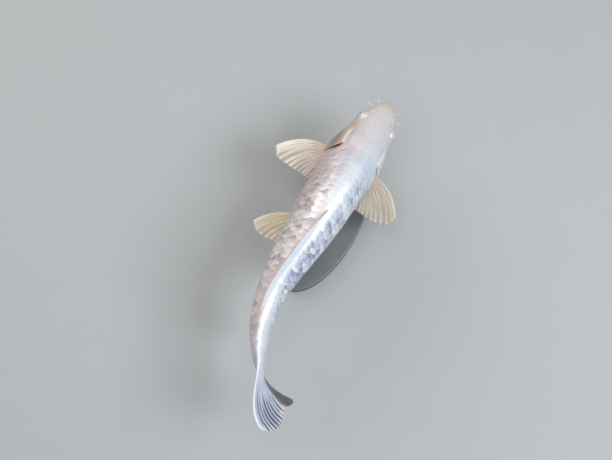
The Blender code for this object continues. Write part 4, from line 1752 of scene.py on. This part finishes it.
@dataclass
class Studio:
    """The pale floor, soft lights and camera."""

    floor_size: float = 9.0
    azimuth: float = -58.5
    elevation: float = 77.0
    distance: float = 1.65
    target: Point = (-0.0341, 0.0093, 0.1224)
    lens: float = 71.34
    sensor: float = 36.0
    world: Colour = (0.80, 0.84, 0.88)
    world_strength: float = 0.30
    lights: tuple[Softbox, ...] = (
        Softbox("key_softbox", (0.25, -1.35, 1.75), 1.0, 31.0, (0.90, 0.95, 1.0)),
        Softbox("warm_fill", (0.30, 1.55, 1.20), 1.2, 14.0, (1.0, 0.94, 0.89)),
        Softbox("top_softbox", (-0.45, 0.10, 2.3), 1.8, 20.0, (1.0, 0.99, 0.98)),
    )
    floor: PaintFinish = PaintFinish(
        "pale_floor", roughness=0.75, bump=0.05, colour=(0.42, 0.435, 0.44), worn=(0.38, 0.395, 0.40),
        wear=(0.0, 1.0, 0.0, 0.12), texture=260.0,
    )

    def build(self, effects: Effects) -> None:
        """Everything round the fish.

        Args:
            effects: the shared effects.
        """
        self.add_floor(self.floor.make(effects))
        self.add_world()
        for light in self.lights:
            light.hang(self.target)
        bpy.context.scene.view_settings.view_transform = "Standard"
        self.add_camera()

    def add_floor(self, material: Material) -> None:
        """A large level floor.

        Args:
            material: its finish.
        """
        half = self.floor_size / 2
        mesh = bpy.data.meshes.new("floor")
        corners = [(-half, -half, 0), (half, -half, 0), (half, half, 0), (-half, half, 0)]
        mesh.from_pydata(corners, [], [(0, 1, 2, 3)])
        mesh.materials.append(material)
        linked("floor", mesh)

    def add_world(self) -> None:
        """An even pale surround."""
        world = bpy.data.worlds.new("studio")
        world.use_nodes = True
        background = world.node_tree.nodes["Background"]
        background.inputs["Color"].default_value = (*self.world, 1.0)
        background.inputs["Strength"].default_value = self.world_strength
        bpy.context.scene.world = world

    def add_camera(self) -> None:
        """The camera, high above the fish and a little behind its right side."""
        azimuth, elevation = math.radians(self.azimuth), math.radians(self.elevation)
        level = math.cos(elevation)
        away = np.array((math.sin(azimuth) * level, -math.cos(azimuth) * level, math.sin(elevation)))
        camera = bpy.data.cameras.new("camera")
        camera.lens, camera.sensor_width = self.lens, self.sensor
        holder = linked("camera", camera)
        holder.location = np.array(self.target) + self.distance * away
        holder.rotation_euler = (math.pi / 2 - elevation, 0.0, azimuth)
        bpy.context.scene.camera = holder


PECTORAL = Fin(
    "pectoral_fin_left", (0.226, 0.062, -0.060), (0.268, 0.046, -0.078), (0.0, 1.0, -0.16),
    sweep=(-10.0, 96.0), curve=(74.0, 6.0), droop=-0.006, cup=0.010,
    lengths=((0.0, 0.203), (0.12, 0.195), (0.30, 0.150), (0.45, 0.125), (0.75, 0.090), (1.0, 0.062)),
    notch=0.055, ragged=0.032, slots=0.75, slot_start=(0.50, 0.85),
)
RIGHT_PECTORAL = PECTORAL.mirrored(
    "pectoral_fin_right", sweep=(-24.0, 90.0), curve=(88.0, 6.0), lengths=(
        (0.0, 0.196), (0.05, 0.203), (0.12, 0.202), (0.20, 0.190), (0.30, 0.169), (0.45, 0.139),
        (0.75, 0.092), (1.0, 0.062),
    ),
)
PELVIC = Fin(
    "pelvic_fin_left", (0.462, 0.030, -0.110), (0.496, 0.016, -0.110), (0.0, 1.0, -0.22),
    sweep=(8.0, 84.0), curve=(56.0, 4.0), droop=-0.004, cup=0.006, rays=9, per_ray=20,
    lengths=((0.0, 0.172), (0.15, 0.168), (0.5, 0.125), (1.0, 0.075)),
    notch=0.05, ragged=0.028, slots=0.65, slot_start=(0.45, 0.8),
)
RIGHT_PELVIC = PELVIC.mirrored("pelvic_fin_right", out=(0.0, -0.55, -1.0), sweep=(44.0, 82.0))
DORSAL = Fin(
    "dorsal_fin", (0.452, 0.0, 0.149), (0.785, 0.0, 0.086), (0.0, 0.46, 0.89),
    sweep=(60.0, 66.0), curve=(16.0, 8.0), back=(1.0, 0.0, -0.14),
    lengths=((0.0, 0.100), (0.12, 0.118), (0.4, 0.110), (0.8, 0.080), (1.0, 0.052)),
    root_thick=1.35 * MM, rays=21, per_ray=10, steps=36, notch=0.05, ridge_lift=0.0022,
)
ANAL = Fin(
    "anal_fin", (0.752, 0.0, -0.078), (0.836, 0.0, -0.060), (0.0, 0.0, -1.0),
    sweep=(38.0, 66.0), curve=(16.0, 4.0), rays=8, per_ray=18,
    lengths=((0.0, 0.118), (0.25, 0.120), (0.6, 0.088), (1.0, 0.055)),
)
TAIL = Fin(
    "tail_fin_upper", (0.99, 0.0, 0.0575), (0.99, 0.0, -0.0515), (0.0, 0.0, 1.0),
    sweep=(62.0, 112.0), curve=(12.0, -14.0), droop=0.030, cup=0.030,
    lengths=(
        (0.0, 0.208), (0.1, 0.222), (0.2, 0.223), (0.3, 0.211), (0.4, 0.192), (0.5, 0.168), (0.6, 0.170),
        (0.75, 0.170), (0.9, 0.162), (1.0, 0.148),
    ),
    root_thick=3.0 * MM, tip_thick=0.66 * MM, webbing=(0.10, 0.46), fade=1.6, rays=10, per_ray=18, steps=64,
    branch=(0.28, 0.58), notch=0.11, span=(0.0, 0.494), slots=1.0, slot_start=(0.40, 0.62),
)
LOWER_TAIL = replace(TAIL, name="tail_fin_lower", rays=9, span=(0.506, 1.0))

FINS = (
    (FinFinish(
        "cream_fin", tint=(0.86, 0.78, 0.70), root=(0.78, 0.53, 0.35), web=(0.53, 0.44, 0.36),
        gap=(0.27, 0.19, 0.13), edge=(0.66, 0.56, 0.46), front=(0.80, 0.70, 0.60),
    ), (PECTORAL,)),
    (FinFinish(
        "shaded_cream_fin", tint=(0.56, 0.48, 0.37), root=(0.68, 0.52, 0.38), web=(0.31, 0.25, 0.185),
        gap=(0.20, 0.155, 0.11), edge=(0.46, 0.39, 0.30), front=(0.66, 0.57, 0.47), tip=(0.60, 0.53, 0.42),
        clear=0.7,
    ), (RIGHT_PECTORAL,)),
    (FinFinish(
        "yellow_cream_fin", tint=(0.76, 0.66, 0.46), root=(0.66, 0.44, 0.18), web=(0.46, 0.37, 0.24),
        gap=(0.25, 0.19, 0.12), edge=(0.70, 0.63, 0.50), front=(0.82, 0.72, 0.60),
    ), (PELVIC, RIGHT_PELVIC, ANAL)),
    # The dorsal fin's bluish white is partly painted sky light on its upturned face, and the dark red-brown
    # along its first ray and the front of its free edge is partly painted shadow.
    (FinFinish(
        "white_fin", roughness=0.32, coat=0.3, bump=0.2, tint=(0.88, 0.91, 0.95), root=(0.86, 0.89, 0.94),
        web=(0.66, 0.73, 0.84), gap=(0.6, 0.66, 0.76), edge=(0.92, 0.93, 0.95), front=(0.36, 0.17, 0.125),
        tip=(0.93, 0.94, 0.96), clear=0.5,
    ), (DORSAL,)),
    (FinFinish(
        "blue_white_fin", roughness=0.36, coat=0.2, tint=(0.585, 0.625, 0.74), root=(0.80, 0.83, 0.88),
        web=(0.36, 0.40, 0.51), gap=(0.022, 0.030, 0.062), edge=(0.62, 0.67, 0.78), front=(0.88, 0.90, 0.96),
        tip=(0.62, 0.66, 0.77),
    ), (TAIL,)),
    # The lower tail lobe is painted much darker than the upper one: painted shade.
    (FinFinish(
        "grey_fin", roughness=0.42, tint=(0.25, 0.24, 0.225), root=(0.46, 0.44, 0.44),
        web=(0.085, 0.082, 0.08), gap=(0.05, 0.05, 0.055), edge=(0.40, 0.37, 0.34), front=(0.45, 0.42, 0.40),
        tip=(0.34, 0.31, 0.27), clear=0.85,
    ), (LOWER_TAIL,)),
)


@dataclass
class Koi:
    """The whole fish."""

    form: BodyForm
    skin: SkinFinish = SkinFinish(
        "koi_skin", roughness=0.42, drift=(0.06, 0.08), metallic=0.12, coat=0.15, coat_roughness=0.3,
        bump=0.16,
    )
    scales: ScaleFinish = ScaleFinish(
        "pearl_scales", roughness=0.40, drift=(0.0, 0.10), metallic=0.22, coat=0.15, coat_roughness=0.3,
        bump=0.15,
    )
    eye: EyeFinish = EyeFinish("eye_gloss", roughness=0.12, coat=1.0, coat_roughness=0.03, bump=0.1)
    barbel: BarbelFinish = BarbelFinish("barbel_skin", roughness=0.45, coat=0.2, bump=0.1)
    barbels: tuple[Barbel, ...] = (
        Barbel("corner", (0.036, 0.038, -0.0195), (-0.25, 1.0, -0.1), 0.036, 1.05 * MM),
        Barbel("upper", (0.0150, 0.0265, -0.0085), (-0.35, 1.0, -0.2), 0.022, 0.78 * MM),
    )

    def build(self, effects: Effects) -> None:
        """Builds and dresses every piece in order.

        Args:
            effects: the shared effects.
        """
        skin = Skin(self.form).build(self.skin.make(effects))
        hand_over(skin, "skin", "head", "lower_jaw", "gill_cover_left", "gill_cover_right", *SCALED)
        for piece in ScaleCoat(self.form).build(self.scales.make(effects)):
            hand_over(piece, "skin", *SCALED)
        for finish, fins in FINS:
            material = finish.make(effects)
            for fin in fins:
                fin.build(self.form, material)
        eye, feeler = self.eye.make(effects), self.barbel.make(effects)
        for side in Side:
            Eye(self.form, side).build(eye)
        for side in Side:
            for barbel in self.barbels:
                barbel.build(self.form, side, feeler)


@dataclass
class Stand:
    """The display stand: an oval plate with an eased rim, and two posts on small round feet."""

    rim: float = 2.0 * MM
    post: float = 4.0 * MM  # its radius
    foot: Span = (3.6 * MM, 6.0 * MM)  # the heights of its straight side and of its cone
    easing: float = 0.4 * MM
    sides: int = 120
    paint: PaintFinish = PaintFinish(
        "stand_paint", roughness=0.42, drift=(0.05, 0.07), metallic=0.4, bump=0.08,
        colour=(0.16, 0.165, 0.175), worn=(0.21, 0.215, 0.225), wear=(0.1, 0.9, 0.0, 0.35), texture=1400.0,
    )

    def build(self, effects: Effects) -> None:
        """The plate and the posts, in the places of their nodes.

        Args:
            effects: the shared effects.
        """
        material = self.paint.make(effects)
        self.turned("stand_plate", "stand_base", self.plate_profile(), material)
        ease, (straight, cone) = self.easing, self.foot
        for word in ("front", "rear"):
            low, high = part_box(f"stand_rod_{word}")
            inset = (high[0] - low[0]) / 2 - self.post
            profile = [
                (ease, 0.0), (0.0, ease), (0.0, straight - ease), (ease, straight),
                (inset - ease, cone - ease), (inset, cone), (inset, high[2] - low[2]),
            ]
            self.turned(f"stand_post_{word}", f"stand_rod_{word}", profile, material)

    def plate_profile(self) -> Profile:
        """The plate's edge, from the middle of its underside up and over the rim.

        Returns:
            Distances in from the sides and heights above the floor.
        """
        low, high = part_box("stand_base")
        arc = np.linspace(0.0, math.pi / 2, 7)
        lower = [(self.rim * (1 - math.sin(a)), self.rim * (1 - math.cos(a))) for a in arc]
        profile = [(1.3 * self.rim, 0.0), *lower]
        return profile + [(inset, high[2] - low[2] - height) for inset, height in profile[::-1]]

    def turned(self, name: str, node: str, profile: Profile, material: Material) -> Piece:
        """A closed solid of level oval rings in a node's box.

        Args:
            name: the piece's name.
            node: the node whose box it fills and which it replaces.
            profile: each ring's distance in from the box's sides and height above its bottom.
            material: the stand's finish.

        Returns:
            The piece.
        """
        low, high = (np.array(corner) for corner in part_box(node))
        middle, half = (low + high) / 2, (high - low) / 2
        turn = np.arange(self.sides) / self.sides * math.tau
        insets, heights = np.array(profile).T[..., None]
        points = np.stack(np.broadcast_arrays(
            middle[0] + (half[0] - insets) * np.cos(turn), middle[1] + (half[1] - insets) * np.sin(turn),
            low[2] + heights,
        ), axis=-1)
        faces, places = ring_faces(len(profile), self.sides)
        return hand_over(make_object(name, points, faces, places, {}, material, 40.0), "stand", node)


def main() -> None:
    """Builds the studio, the fish and its stand."""
    logging.basicConfig(level=logging.INFO, format="%(name)s %(message)s")
    effects = Effects()
    Studio().build(effects)
    Stand().build(effects)
    Koi(BodyForm()).build(effects)


if __name__ == "__main__":
    main()
